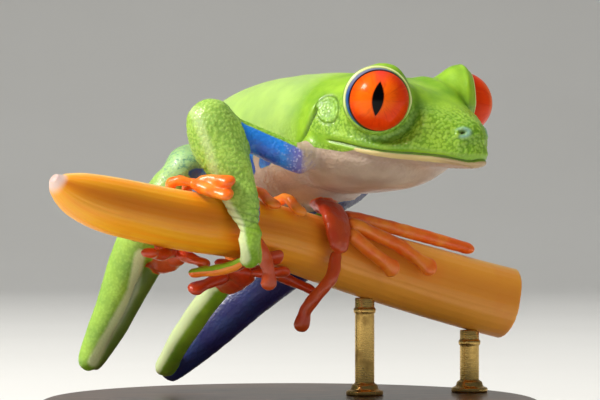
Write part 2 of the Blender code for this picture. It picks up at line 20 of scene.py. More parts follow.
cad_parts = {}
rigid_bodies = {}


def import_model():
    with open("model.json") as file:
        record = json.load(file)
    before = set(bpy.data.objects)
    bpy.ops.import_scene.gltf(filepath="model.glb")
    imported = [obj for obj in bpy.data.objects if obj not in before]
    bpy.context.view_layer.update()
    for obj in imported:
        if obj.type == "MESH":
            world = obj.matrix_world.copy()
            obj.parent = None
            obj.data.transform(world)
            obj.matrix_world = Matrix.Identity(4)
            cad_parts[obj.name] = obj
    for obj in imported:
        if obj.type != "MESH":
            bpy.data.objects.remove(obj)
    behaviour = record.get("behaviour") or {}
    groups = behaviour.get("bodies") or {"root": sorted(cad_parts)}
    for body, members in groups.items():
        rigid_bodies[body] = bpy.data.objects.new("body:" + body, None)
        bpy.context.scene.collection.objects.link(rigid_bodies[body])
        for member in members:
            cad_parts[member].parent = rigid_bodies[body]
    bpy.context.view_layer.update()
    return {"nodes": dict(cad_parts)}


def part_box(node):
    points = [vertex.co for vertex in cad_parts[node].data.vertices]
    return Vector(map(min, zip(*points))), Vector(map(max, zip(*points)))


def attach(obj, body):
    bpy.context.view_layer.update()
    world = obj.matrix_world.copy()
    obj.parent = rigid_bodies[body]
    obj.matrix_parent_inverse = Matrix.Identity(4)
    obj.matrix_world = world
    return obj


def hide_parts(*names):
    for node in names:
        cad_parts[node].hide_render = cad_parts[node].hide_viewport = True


bl_info = {
    "name": "Tree frog on a bract",
    "version": (1, 0, 0),
    "blender": (4, 5, 0),
    "location": "3D View > Sidebar > Tree frog",
    "description": "Builds the skin, eyes, bract, stand and studio of a tree frog model",
    "category": "Object",
}

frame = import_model()

MM = 0.001
BODY = "root"
UP = np.array((0.0, 0.0, 1.0))
SIDES = {"right": -1.0, "left": 1.0}
BLOCK = 40000  # points worked out at a time, to spare memory
TINY = 1e-6

# ------------------------------------------------------------ the head's frame


def middle_of(node):
    """The middle of a node's box, in millimetres."""
    low, high = (np.array(corner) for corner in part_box(node))
    return (low + high) / 2 / MM


EYES = {side: middle_of(f"eye_{side}") for side in SIDES}
EYE_LINE = (EYES["left"] + EYES["right"]) / 2
HEAD_YAW = math.atan2(*(EYES["left"] - EYES["right"])[:2])
HEAD_PITCH = math.radians(6.0)
TRUNK_YAW = math.radians(60.0)
BEND_START = 4.0  # the neck bends between these distances behind the eyes
BEND_END = 15.0
EYE_RADIUS = 3.15
EYE_SETBACK = 0.12  # behind the middles of the solid eyeballs
EYE_DROP = 0.20  # and below them
EYE_TURN = math.radians(40.0)  # the pupil's line, forward of straight sideways
SPINE_START = -10.0  # ahead of the snout
SPINE_END = 42.0  # behind the vent
SPINE_STEP = 0.25


def spine_axes(distance):
    """Forward, left and up at a distance behind the eyes."""
    t = min(max((distance - BEND_START) / (BEND_END - BEND_START), 0.0), 1.0)
    blend = t * t * (3 - 2 * t)
    yaw = HEAD_YAW + (TRUNK_YAW - HEAD_YAW) * blend
    pitch = HEAD_PITCH * (1 - blend)
    left = np.array((math.sin(yaw), math.cos(yaw), 0.0))
    level = np.array((math.cos(yaw), -math.sin(yaw), 0.0))
    forward = level * math.cos(pitch) - UP * math.sin(pitch)
    return forward, left, np.cross(left, -forward)


def spine_samples():
    """Distances, points and axes along the spine."""
    back = np.arange(0.0, SPINE_END, SPINE_STEP)
    spots = [EYE_LINE]
    for distance in back[1:]:
        forward = spine_axes(distance - SPINE_STEP / 2)[0]
        spots.append(spots[-1] - forward * SPINE_STEP)
    ahead = np.arange(SPINE_START, 0.0, SPINE_STEP)
    front = [EYE_LINE - spine_axes(0.0)[0] * distance for distance in ahead]
    places = np.concatenate([ahead, back])
    axes = np.array([spine_axes(distance) for distance in places])
    return places, np.array(front + spots), axes


SPINE = spine_samples()


def eyeball_middle(side):
    """The middle of an eyeball, a little behind and below its solid's."""
    ahead, _, up = spine_axes(0.0)
    return EYES[side] - ahead * EYE_SETBACK - up * EYE_DROP


EYEBALLS = {side: eyeball_middle(side) for side in SIDES}


def along_spine(points):
    """Distance behind the eyes, way to the left and height, for each point."""
    places, spots, axes = SPINE
    result = np.empty((len(points), 3))
    for start in range(0, len(points), BLOCK):
        block = points[start : start + BLOCK]
        apart = ((block[:, None, :2] - spots[None, :, :2]) ** 2).sum(axis=2)
        near = apart.argmin(axis=1)
        offset = block - spots[near]
        local = np.einsum("pij,pj->pi", axes[near], offset)
        result[start : start + BLOCK, 0] = places[near] - local[:, 0]
        result[start : start + BLOCK, 1:] = local[:, 1:]
    return result


def eye_look(side):
    """The line that an eyeball looks along."""
    forward, left, _ = spine_axes(0.0)
    look = left * SIDES[side] * math.cos(EYE_TURN) + forward * math.sin(EYE_TURN)
    look[2] = 0.0
    return look / np.linalg.norm(look)


# ------------------------------------------------------------- mesh in arrays


def smoothstep(low, high, values):
    """0 at low and 1 at high, with a smooth change between; low may be the larger."""
    t = np.clip((np.asarray(values, float) - low) / (high - low), 0.0, 1.0)
    return t * t * (3 - 2 * t)


def bump(values, width):
    """A bell curve, 1 at nought and near nought beyond twice the width."""
    return np.exp(-((np.asarray(values) / width) ** 2))


def vectors_of(mesh, field):
    """A row of three for each vertex."""
    flat = np.empty(len(mesh.vertices) * 3, np.float32)
    mesh.vertices.foreach_get(field, flat)
    return flat.reshape(-1, 3).astype(float)


def points_of(mesh):
    """The vertices' places, in millimetres."""
    return vectors_of(mesh, "co") / MM


def put_points(mesh, points):
    mesh.vertices.foreach_set("co", (points * MM).astype(np.float32).ravel())
    mesh.update()


def mesh_from(points, faces):
    """A mesh from points in millimetres."""
    mesh = bpy.data.meshes.new("working mesh")
    scaled = np.asarray(points) * MM
    mesh.from_pydata(scaled.tolist(), [], [list(face) for face in faces])
    mesh.update()
    return mesh


def new_piece(name, mesh, material):
    """A visible piece, on the model's one body."""
    mesh.name = name
    mesh.materials.append(material)
    piece = bpy.data.objects.new(name, mesh)
    bpy.context.scene.collection.objects.link(piece)
    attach(piece, BODY)
    return piece


class Net:
    """The edges of a mesh as arrays, for smoothing points or values over it."""

    def __init__(self, mesh):
        ends = np.empty(len(mesh.edges) * 2, np.int32)
        mesh.edges.foreach_get("vertices", ends)
        ends = ends.reshape(-1, 2)
        self.here = np.concatenate([ends[:, 0], ends[:, 1]])
        self.there = np.concatenate([ends[:, 1], ends[:, 0]])
        self.count = len(mesh.vertices)
        degree = np.bincount(self.here, minlength=self.count)
        self.share = 1.0 / np.maximum(degree, 1)

    def mean(self, values):
        """The mean of each vertex's neighbours."""
        if values.ndim == 1:
            return self.share * np.bincount(
                self.here, weights=values[self.there], minlength=self.count
            )
        return np.stack([self.mean(column) for column in values.T], axis=1)

    def smooth(self, values, rounds, limit=None):
        """Values after that many rounds of averaging; limit is each vertex's own most."""
        for step in range(rounds):
            moved = (values + self.mean(values)) / 2
            if limit is not None:
                keep = np.clip(limit - step, 0.0, 1.0)
                keep = keep if values.ndim == 1 else keep[:, None]
                moved = values + (moved - values) * keep
            values = moved
        return values


def smooth_form(mesh, limit):
    """Smooth a mesh, then push it out again by the bulk that smoothing took away."""
    net = Net(mesh)
    rounds = int(limit.max())
    before = points_of(mesh)
    after = net.smooth(before, rounds, limit)
    put_points(mesh, after)
    normals = vectors_of(mesh, "normal")
    lost = ((before - after) * normals).sum(axis=1)
    lost = net.smooth(lost, rounds, limit)
    put_points(mesh, after + normals * lost[:, None])


def joined(solids):
    """Points and faces of several solids as one."""
    points, faces, start = [], [], 0
    for part_points, part_faces in solids:
        points.append(part_points)
        faces.extend([[i + start for i in face] for face in part_faces])
        start += len(part_points)
    return np.concatenate(points), faces


def voxel_shell(solids, size):
    """One closed skin round all the solids, with faces about size across."""
    mesh = mesh_from(*joined(solids))
    holder = bpy.data.objects.new("voxel holder", mesh)
    bpy.context.scene.collection.objects.link(holder)
    remesh = holder.modifiers.new("voxels", "REMESH")
    remesh.mode = "VOXEL"
    remesh.voxel_size = size * MM
    graph = bpy.context.evaluated_depsgraph_get()
    made = bpy.data.meshes.new_from_object(holder.evaluated_get(graph))
    bpy.data.objects.remove(holder)
    bpy.data.meshes.remove(mesh)
    return made


def solid_from(mesh):
    """Points and faces of a mesh."""
    return points_of(mesh), [tuple(face.vertices) for face in mesh.polygons]


def ball(middle, radius, rings=24, sides=36):
    """Points and faces of a round ball."""
    points = [middle + UP * radius]
    for tilt in (math.pi * ring / rings for ring in range(1, rings)):
        for turn in (2 * math.pi * i / sides for i in range(sides)):
            spoke = math.sin(tilt) * math.cos(turn), math.sin(tilt) * math.sin(turn), math.cos(tilt)
            points.append(middle + np.array(spoke) * radius)
    points.append(middle - UP * radius)
    faces = []
    last = 1 + (rings - 2) * sides
    for i in range(sides):
        j = (i + 1) % sides
        faces.append((0, 1 + i, 1 + j))
        faces.append((len(points) - 1, last + j, last + i))
        for ring in range(rings - 2):
            near = 1 + ring * sides
            far = near + sides
            faces.append((near + i, far + i, far + j, near + j))
    return np.array(points), faces


# ------------------------------------------------------- growing one skin

# Each kind of piece: those that its skin runs on into, and its rounds of smoothing
# on the coarse mesh.
KINDS = {
    "head": ((), 45),
    "lower_jaw": (("head",), 45),
    "trunk": (("head", "lower_jaw"), 90),
    "upper_arm": (("trunk", "head", "lower_jaw"), 24),
    "forearm": (("upper_arm",), 30),
    "hand": (("forearm",), 10),
    "finger": (("hand",), 8),
    "thigh": (("trunk",), 45),
    "shank": (("thigh",), 32),
    "tarsus": (("shank",), 22),
    "foot": (("tarsus",), 10),
    "toe": (("foot",), 8),
}
MOUND_SMOOTHING = 110  # rounds on the mound behind each eye
SHOULDER_SMOOTHING = 80  # where the near arm leaves the body
SMOOTHING_BLEND = 12  # rounds that even out the rounds themselves
DIGIT_SMOOTHING = 14
LAST_SMOOTHING = 6
EYE_SMOOTHING = 10  # after the head is cleared from in front of the eyes
DIGIT_FACES = 1.3  # face size of the lone fingers and toes, by the finished skin's
MEETING_GAP = 0.5  # a point this near its neighbour lies on a thin cut
TOUCHING = 0.01  # and one this near already meets it
OVERLAP = 0.14  # how far a piece is made to reach into its neighbour
EYE_KEEP = 4.6  # nearer than this to an eye, the coarse smoothing is light
EYE_SMOOTHING_SHARE = 0.08  # this much of it
LID_RADIUS = 3.45  # of the balls that the lids grow from
LID_OPENING = 77.0  # degrees from the pupil's line
MOUND_FILL = 0.50  # fills the crease ahead of the mound
SADDLE_RISE = {"right": 0.0, "left": 0.22}  # the slope on the mound's inner side
# How far forward of the eyeball's middle the head may come, by distance aside.
EYE_CLEARANCE = ((3.0, 3.5, 4.1, 4.6, 5.4, 6.2), (-0.4, -0.15, 0.05, 0.50, 1.6, 9.0))


def kind_of(node):
    """A node's name without its side and number."""
    words = [word for word in node.split("_") if word not in SIDES and not word.isdigit()]
    return "_".join(words)


FLESH = sorted(node for node in frame["nodes"] if kind_of(node) in KINDS)
DIGITS = [node for node in FLESH if kind_of(node) in ("finger", "toe")]


def neighbours(node):
    """The nodes that this one's skin runs on into."""
    side = node.rsplit("_", 1)[-1]
    parents, _ = KINDS[kind_of(node)]
    found = [parent if parent in FLESH else f"{parent}_{side}" for parent in parents]
    if node in DIGITS:
        stem, number, _ = node.split("_")
        found += [f"{stem}_{n}_{side}" for n in range(1, int(number))]
    return found


def solid_of(node):
    """Points and faces of a node, with its split vertices joined again."""
    mesh = frame["nodes"][node].data
    points, index = np.unique(np.round(points_of(mesh), 4), axis=0, return_inverse=True)
    faces = []
    for face in mesh.polygons:
        corners = [int(index[i]) for i in face.vertices]
        if len(set(corners)) == len(corners):
            faces.append(tuple(corners))
    return points, faces


def tree_of(points, faces):
    """A search tree for the nearest face to a point."""
    return BVHTree.FromPolygons(points.tolist(), faces)


def meet_neighbours(node, solids, trees):
    """The node's solid, reaching a little way into those that it was cut from."""
    points, faces = solids[node]
    moved = points.copy()
    for other in neighbours(node):
        for i, point in enumerate(points):
            spot, _, _, gap = trees[other].find_nearest(point.tolist(), MEETING_GAP)
            if spot is not None and gap > TOUCHING:
                moved[i] = np.array(spot) + (np.array(spot) - point) / gap * OVERLAP
    return moved, faces


def owner_of(points, tree, names):
    """The nearest node to each point."""
    return np.array([names[tree.find_nearest(point)[2]] for point in points.tolist()])


def from_eye(points, side):
    """Distance from an eyeball's middle, and the angle from its line of sight."""
    offset = points - EYEBALLS[side]
    reach = np.linalg.norm(offset, axis=1)
    facing = (offset @ eye_look(side)) / np.maximum(reach, TINY)
    return reach, np.degrees(np.arccos(np.clip(facing, -1, 1)))


def about_gaze(points, side):
    """Each point's way along an eyeball's line of sight, its way aside and that distance."""
    gaze = eye_look(side)
    offset = points - EYEBALLS[side]
    depth = offset @ gaze
    aside = offset - depth[:, None] * gaze
    return depth, aside, np.maximum(np.linalg.norm(aside, axis=1), TINY)


def set_eyes(body):
    """Clear the head from in front of each lid, and fill the crease round its mound."""
    points, normals = points_of(body), vectors_of(body, "normal")
    ahead, _, _ = spine_axes(0.0)
    worked = np.zeros(len(points))
    for side in SIDES:
        reach, angle = from_eye(points, side)
        worked += 1 - smoothstep(5.4, 6.8, reach)
        depth, aside, around = about_gaze(points, side)
        front = smoothstep(-0.3, 0.5, (aside / around[:, None]) @ (0.8 * ahead + 0.3 * UP))
        fill = MOUND_FILL * front * bump(reach - 4.6, 1.2) * smoothstep(90, 105, angle)
        fill += SADDLE_RISE[side] * bump(reach - 4.5, 0.8) * smoothstep(100, 120, angle)
        fill *= smoothstep(-1.0, 1.5, points[:, 2] - EYEBALLS[side][2])
        points += normals * fill[:, None]
        clear = np.maximum(depth - np.interp(around, *EYE_CLEARANCE), 0.0)
        points -= eye_look(side) * (clear * (around < EYE_CLEARANCE[0][-1]))[:, None]
    put_points(body, points)
    smooth_form(body, EYE_SMOOTHING * np.clip(worked, 0, 1))


def grow_skin(coarse, fine):
    """The one closed skin, before it is worked, and the node nearest each vertex."""
    solids = {node: solid_of(node) for node in FLESH}
    trees = {node: tree_of(*solid) for node, solid in solids.items()}
    tree = tree_of(*joined(solids.values()))
    names = [node for node, (_, faces) in solids.items() for _ in faces]
    met = {node: meet_neighbours(node, solids, trees) for node in FLESH}

    body = voxel_shell([met[node] for node in FLESH if node not in DIGITS], coarse)
    points = points_of(body)
    owner = owner_of(points, tree, names)
    limit = np.array([KINDS[kind_of(node)][1] for node in owner], float)
    for side in SIDES:
        reach, angle = from_eye(points, side)
        keep = smoothstep(EYE_KEEP - 1.0, EYE_KEEP + 0.6, reach)
        limit *= keep * (1 - EYE_SMOOTHING_SHARE) + EYE_SMOOTHING_SHARE
        mound = smoothstep(88, 108, angle) * (1 - smoothstep(5.2, 7.0, reach))
        limit += (MOUND_SMOOTHING - limit) * mound
    shoulder = points[(owner == "upper_arm_right") & (points[:, 0] > -0.5)].mean(axis=0)
    near = 1 - smoothstep(1.8, 3.8, np.linalg.norm(points - shoulder, axis=1))
    limit += (SHOULDER_SMOOTHING - limit) * near
    smooth_form(body, Net(body).smooth(limit, SMOOTHING_BLEND))
    set_eyes(body)

    digits = voxel_shell([met[node] for node in DIGITS], fine * DIGIT_FACES)
    smooth_form(digits, np.full(len(digits.vertices), DIGIT_SMOOTHING))

    lids = [ball(EYEBALLS[side], LID_RADIUS) for side in SIDES]
    skin = voxel_shell([solid_from(body), solid_from(digits), *lids], fine)
    smooth_form(skin, np.full(len(skin.vertices), LAST_SMOOTHING))
    return skin, owner_of(points_of(skin), tree, names)


# ------------------------------------------------------- working the skin

# In the functions that work the skin, each bare number belongs to one ridge, groove
# or marking: its height, its place, its half width or where it fades. Lengths are
# millimetres, and angles are degrees.

# Lines and places on the head, neck and trunk: distance behind the eyes, way out
# to the side and height, or only the first and last of these. Both sides have them.
MOUTH_LINE = (
    (-9.0, -5.00), (-7.9, -5.12), (-7.5, -5.28), (-7.1, -5.33), (-6.7, -5.28),
    (-6.3, -5.20), (-5.8, -5.12), (-4.7, -5.07), (-2.0, -5.15), (0.9, -5.00),
    (3.3, -4.70), (6.9, -4.40), (9.0, -4.50),
)
MOUTH_CORNER = 5.3
MOUTH_DEPTH = 0.20
LIP_WIDTH = ((-7.0, 0.50), (-5.0, 0.62), (-1.0, 0.48), (3.0, 0.30))  # by distance behind
BROW_RIDGE = ((-3.3, 4.6, 0.0), (-4.8, 3.6, -0.8), (-6.0, 2.9, -1.5), (-7.0, 2.3, -2.0))
CHEEK_HOLLOW = ((-3.2, 6.0, -2.4), (-4.6, 4.9, -3.0), (-6.2, 3.6, -3.4))
CHEEK_DIMPLE = (-2.9, 6.6, -1.6)
NOSTRIL = (-6.85, 1.85, -2.70)
NOSTRIL_HOLLOW = (-6.25, 2.4, -2.60)
NOSTRIL_SHAPE = np.array((0.8, 0.45, 1.0))  # it is a little longer than high
EAR_DISC = (5.42, -1.60)
EAR_LEAN = 0.30  # of its height, how far the disc's top lies behind its foot
EAR_HALF_LENGTH = 1.16
EAR_HALF_HEIGHT = 1.20
SHOULDER_FOLD = ((6.55, -1.7), (6.70, -2.4), (6.95, -3.2), (7.25, -4.0), (7.60, -4.8), (8.00, -5.5))
GREEN_EDGE = ((-8, -4), (2, -5.4), (8, -5), (16, -4.2), (26, -5), (34, -6.2), (39, -8))
FLANK_EDGE = ((8, -6.0), (16, -8.4), (26, -9.4), (36, -9.4))
BAR_SPACING = 3.4  # of the pale bars on the blue flank
BAR_LEAN = 0.35

# The lid, by distance from the eyeball's middle and by degrees past its opening.
LID_HEM = 2.84
LID_RISES = ((-3, 5, 0.50), (7, 20, 0.10), (18, 48, 0.10))  # from, to and by how much
LID_EDGE = (3.62, 3.95)  # where the lid gives way to the head
LID_DRAWN = {"right": 0.0, "left": 5.0}  # degrees its front margin is drawn over the eye
LID_SMOOTHING = 34
MOUND_RISE = {"right": -0.10, "left": 0.55}  # added to the mound's height over the lid
VALLEY_DEPTH = 0.20  # of the crease between the lid and the cheek
IRIS_SPREAD = {"right": 1.0, "left": 0.92}  # the left iris fills more of its eyeball

# Markings on the limbs, by X and Z.
SHIN_STRIPE = ((-14.8, 18.6), (-15.0, 17.9), (-15.6, 15.0), (-18.0, 10.7), (-19.6, 7.9))
FOREARM_STRIPE = ((-9.8, 33.6), (-9.0, 32.0), (-7.8, 28.7), (-7.1, 26.0), (-7.0, 24.6))
WRIST_STRIPE = ((-7.0, 24.2), (-5.9, 22.9), (-5.1, 21.6), (-4.8, 19.5), (-4.5, 18.4))
KNEE = (-10.8, 27.7)
WRIST_HEIGHT = 22.1
CREASE_SPACING = 0.62
# Hands, feet, fingers and toes under the body, where the orange is deepened to red as painted
# shade.
SHADED_RED_PIECES = (
    "hand_left", "finger_1_left", "foot_left", "foot_right",
    "finger_1_right", "finger_2_right", "finger_3_right",
    "toe_1_left", "toe_2_left", "toe_3_left",
    "toe_3_right", "toe_4_right", "toe_5_right",
)
# The far limbs, whose blue is darkened to a dusky navy as painted shade.
SHADED_FAR_PIECES = ("shank_left", "forearm_left", "upper_arm_left", "thigh_left", "hand_left")

PLUMPNESS = 0.08  # of the fingers and toes over their solids
# More of it on the left hand's fingers.
FAR_PLUMPNESS = {"finger_1": 0.07, "finger_2": 0.12, "finger_3": 0.12, "finger_4": 0.12}
GRAIN_SPACING = 0.30
GRAIN_HEIGHT = 0.060
DOME_RADIUS = 0.62  # of the spacing


def dense(rows, steps=12):
    """Points close together on the straight runs between rows."""
    rows = np.array(rows, float)
    runs = [
        start + (end - start) * t
        for start, end in zip(rows, rows[1:])
        for t in np.arange(steps) / steps
    ]
    return np.array([*runs, rows[-1]])


class Sculpture:
    """The skin while it is worked: its points, normals and places along the body."""

    def __init__(self, mesh, owner):
        self.mesh = mesh
        self.net = Net(mesh)
        self.points = points_of(mesh)
        self.owner = owner
        self.back, side, self.height = along_spine(self.points).T
        self.out = np.abs(side)
        self.places = np.stack([self.back, self.out, self.height], axis=1)
        self.normals = vectors_of(mesh, "normal")
        self.marks = {}
        self.body = self.soft(self.of("head", "lower_jaw", "trunk"), 3)
        self.head = self.soft(self.of("head", "lower_jaw"), 3)

    def of(self, *kinds):
        """1 where the skin is over nodes of these kinds or names, elsewhere 0."""
        names = set(np.unique(self.owner))
        wanted = {name for name in names if kind_of(name) in kinds or name in kinds}
        return np.isin(self.owner, list(wanted)).astype(float)

    def soft(self, mask, rounds):
        return self.net.smooth(mask, rounds)

    def push(self, amount):
        """Move the skin out by an amount in millimetres for each point."""
        self.points = self.points + self.normals * amount[:, None]
        self.refresh()

    def refresh(self):
        put_points(self.mesh, self.points)
        self.normals = vectors_of(self.mesh, "normal")

    def near(self, rows, reach, places=None):
        """Distance from a line of places, with all that is farther than reach at reach."""
        places = self.places if places is None else places
        line = dense(rows) if np.ndim(rows) == 2 else np.array([rows])
        low, high = line.min(axis=0) - reach, line.max(axis=0) + reach
        inside = np.flatnonzero(((places > low) & (places < high)).all(axis=1))
        apart = np.full(len(places), float(reach))
        for start in range(0, len(inside), BLOCK):
            block = inside[start : start + BLOCK]
            square = ((places[block, None] - line[None]) ** 2).sum(axis=2)
            apart[block] = np.minimum(np.sqrt(square.min(axis=1)), reach)
        return apart

    def over(self, line):
        """Height over a line given by distances behind the eyes and heights."""
        return self.height - np.interp(self.back, *np.transpose(line))

    def behind(self, line):
        """Distance behind such a line, where it runs down from row to row."""
        back, height = np.transpose(line)
        return self.back - np.interp(-self.height, -height, back)

    def mark(self, name, mask):
        """Keep a mask as a marking that the skin's material reads."""
        self.marks[name] = np.clip(mask, 0.0, 1.0)

    def write_marks(self):
        for name, mask in self.marks.items():
            put_values(self.mesh, name, mask)


def put_values(mesh, name, values):
    """A named value or vector for each vertex, which a material can read."""
    values = np.asarray(values, np.float32)
    kind, field = ("FLOAT_VECTOR", "vector") if values.ndim == 2 else ("FLOAT", "value")
    layer = mesh.attributes.new(name, kind, "POINT")
    layer.data.foreach_set(field, values.ravel())


def grain(points, size, where):
    """Small domes a given size apart, where the mask is over nought."""
    result = np.zeros(len(points))
    chosen = np.flatnonzero(where > 0.02)
    reach = np.array([noise.voronoi(spot)[0][0] for spot in (points[chosen] / size).tolist()])
    result[chosen] = np.clip(1 - (reach / DOME_RADIUS) ** 2, 0.0, 1.0) * where[chosen]
    return result


def waves(points, size, seed=0.0):
    """Smooth noise from about -1 to 1, with swells a given size across."""
    return np.array([noise.noise(spot) for spot in (points / size + seed).tolist()])


def work_eyelids(skin):
    """Open the lids round each eyeball, with a rounded margin that meets it."""
    margin, nearby, valley = np.zeros((3, len(skin.points)))
    ahead, _, up = spine_axes(0.0)
    for side in SIDES:
        reach, angle = from_eye(skin.points, side)
        depth, aside, around = about_gaze(skin.points, side)
        crown = smoothstep(-0.2, 0.7, aside @ (0.6 * ahead + 0.6 * up) / around)
        past = angle + LID_DRAWN[side] * crown - LID_OPENING
        target = np.full(len(past), LID_HEM)
        for start, end, rise in LID_RISES:
            target += rise * smoothstep(start, end, past)
        mound = smoothstep(5, 17, past) * (1 - 0.85 * smoothstep(20, 48, past))
        target += MOUND_RISE[side] * crown * mound
        wide = 0.4 * (1 - smoothstep(0, 8, past))
        hold = 1 - smoothstep(LID_EDGE[0] + wide, LID_EDGE[1] + wide, reach)
        hold *= 1 - smoothstep(48, 68, past)
        offset = skin.points - EYEBALLS[side]
        skin.points += offset * (hold * (target / reach - 1))[:, None]

        reach, angle = from_eye(skin.points, side)
        past = angle + LID_DRAWN[side] * crown - LID_OPENING
        rearward = smoothstep(-0.6, 0.6, aside @ (-ahead) / around)
        rim = bump(past - 3.6, 1.9 + 0.9 * rearward)
        rim *= 1 - smoothstep(3.45, 3.58, reach)
        margin += rim * (0.55 + 0.45 * smoothstep(-0.75, 0.1, aside @ up / around))
        nearby += (1 - smoothstep(4.8, 6.2, reach)) * smoothstep(8, 16, past)
        lower_front = aside @ (0.75 * ahead - 0.65 * up) / around
        level = bump(depth - 0.2, 1.3) * smoothstep(-0.35, 0.55, lower_front)
        valley += bump(around - 3.95 - 0.15 * lower_front, 0.32) * level
    limit = np.clip(nearby, 0, 1) * LID_SMOOTHING
    skin.points = skin.net.smooth(skin.points, LID_SMOOTHING, limit)
    skin.refresh()
    skin.push(-VALLEY_DEPTH * skin.soft(valley, 6) * skin.head)
    skin.mark("lid", margin)
    # Painted shade in the crease round each lid.
    skin.mark("valley", valley * skin.head)


def work_mouth(skin):
    """Brow, cheeks, lips and chin."""
    above, head = skin.over(MOUTH_LINE), skin.head
    lips = head * (1 - smoothstep(MOUTH_CORNER - 1.2, MOUTH_CORNER, skin.back))
    lips *= smoothstep(0.2, 1.2, skin.out) * 0.5 + 0.5
    skin.push(
        0.16 * bump(skin.near(BROW_RIDGE, 1.6), 0.6) * head
        - 0.22 * bump(skin.near(CHEEK_HOLLOW, 2.2), 0.8) * head
        - 0.20 * bump(skin.near(CHEEK_DIMPLE, 2.2), 0.9) * head
        + 0.10 * bump(above - 0.55, 0.30) * lips
        - 0.16 * bump(above + 1.05, 0.45) * lips
        + 0.06 * bump(above + 0.34, 0.20) * lips
    )
    groove = bump(above, 0.105) * lips
    skin.push(-MOUTH_DEPTH * groove)
    skin.mark("mouth", groove)
    lip_width = np.interp(skin.back, *np.transpose(LIP_WIDTH))
    lip = smoothstep(-0.06, -0.14, above) * smoothstep(-0.22, -0.08, above + lip_width)
    skin.mark("lip", lip * head * (1 - smoothstep(0.9, 3.0, skin.back)))
    # Painted shade: the front of the lower lip, in shadow under the snout.
    skin.mark("lip_front", lip * head * smoothstep(-4.6, -6.2, skin.back))

    front = smoothstep(-6.9, -7.7, skin.back) * head
    skin.push((0.10 * bump(skin.height + 5.1, 0.45) - 0.12 * bump(skin.height + 3.7, 0.55)) * front)
    forward, _, up = spine_axes(0.0)
    chin = smoothstep(-4.5, -7.2, skin.back) * smoothstep(-4.9, -5.5, skin.height) * head
    skin.points += (0.46 * forward - 0.12 * up) * chin[:, None]
    skin.refresh()


def work_nostrils(skin):
    """A raised ring round each nostril, with a hollow behind it."""
    nostril = skin.near(NOSTRIL * NOSTRIL_SHAPE, 1.2, skin.places * NOSTRIL_SHAPE)
    hollow = skin.near(NOSTRIL_HOLLOW * NOSTRIL_SHAPE, 1.2, skin.places * NOSTRIL_SHAPE)
    rim = nostril - 0.36
    skin.push((0.20 * bump(nostril, 0.55) - 0.15 * bump(hollow, 0.36)) * skin.head)
    skin.push((0.06 * bump(rim, 0.12) - 0.50 * bump(nostril, 0.17)) * skin.head)
    # Painted shade inside each nostril.
    skin.mark("nostril", bump(nostril, 0.19) * skin.head)
    ahead = smoothstep(NOSTRIL[0] + 0.25, NOSTRIL[0] - 0.05, skin.back)
    above_it = smoothstep(NOSTRIL[2] + 0.05, NOSTRIL[2] + 0.3, skin.height)
    skin.mark("nostril_rim", bump(rim, 0.17) * skin.head * np.maximum(ahead, above_it * 0.7))


def work_neck(skin):
    """The ear discs, and the fold of skin behind each."""
    level = skin.height - EAR_DISC[1]
    past = skin.back - EAR_DISC[0]
    ear = np.hypot((past - EAR_LEAN * level) / EAR_HALF_LENGTH, level / EAR_HALF_HEIGHT)
    outer = smoothstep(5.5, 6.5, skin.out) * skin.body
    relief = 0.10 * bump(ear - 0.93, 0.16) - 0.13 * bump(ear - 1.12, 0.08)
    skin.push((relief - 0.05 * (1 - smoothstep(0.6, 0.85, ear))) * outer)
    # Painted shadow round the disc's edge, strongest at its upper back.
    shaded = 0.6 + 0.4 * smoothstep(-0.2, 0.8, level + 0.5 * past)
    skin.mark("ear_edge", bump(ear - 1.11, 0.08) * outer * shaded)
    skin.mark("ear", (1 - smoothstep(0.95, 1.05, ear)) * outer)

    fold = skin.near(SHOULDER_FOLD, 1.5, skin.places[:, (0, 2)])
    behind = smoothstep(-0.1, 0.3, skin.behind(SHOULDER_FOLD))
    outer = skin.body * smoothstep(4.5, 6.0, skin.out)
    skin.push((-0.26 * bump(fold, 0.14) + 0.16 * bump(fold - 0.5, 0.45) * behind) * outer)
    # Painted shade in the fold behind each ear.
    skin.mark("fold", bump(fold, 0.11) * outer)


def work_grain(skin):
    """The granular skin of cheeks, flanks and forearms, and the fine grain elsewhere."""
    height, marks = skin.height, skin.marks
    cheek = skin.head * smoothstep(0.4, -1.4, height) * smoothstep(-9.0, -5.0, height)
    cheek *= smoothstep(0.3, -0.2, skin.behind(SHOULDER_FOLD))
    cheek *= smoothstep(0.1, 0.9, np.abs(skin.over(MOUTH_LINE)))
    flank = skin.of("trunk") * smoothstep(-2.0, -5.0, height)
    arms = skin.of("forearm") * 0.9 + skin.of("upper_arm") * 0.8
    legs = skin.of("thigh", "shank", "hand") * 0.4
    where = skin.soft(np.clip(cheek + flank * 0.7 + arms + legs, 0, 1), 8)
    keep_off = marks["ear_edge"] + marks["mouth"] + marks["nostril"]
    where *= np.clip(1 - keep_off - marks["lid"], 0, 1)
    domes = grain(skin.points, GRAIN_SPACING, where * (1 - 0.5 * marks["ear"]))
    skin.mark("grain", where)
    skin.mark("domes", domes)
    skin.push(GRAIN_HEIGHT * domes + 0.05 * waves(skin.points, 2.2) * (1 - marks["lid"]))


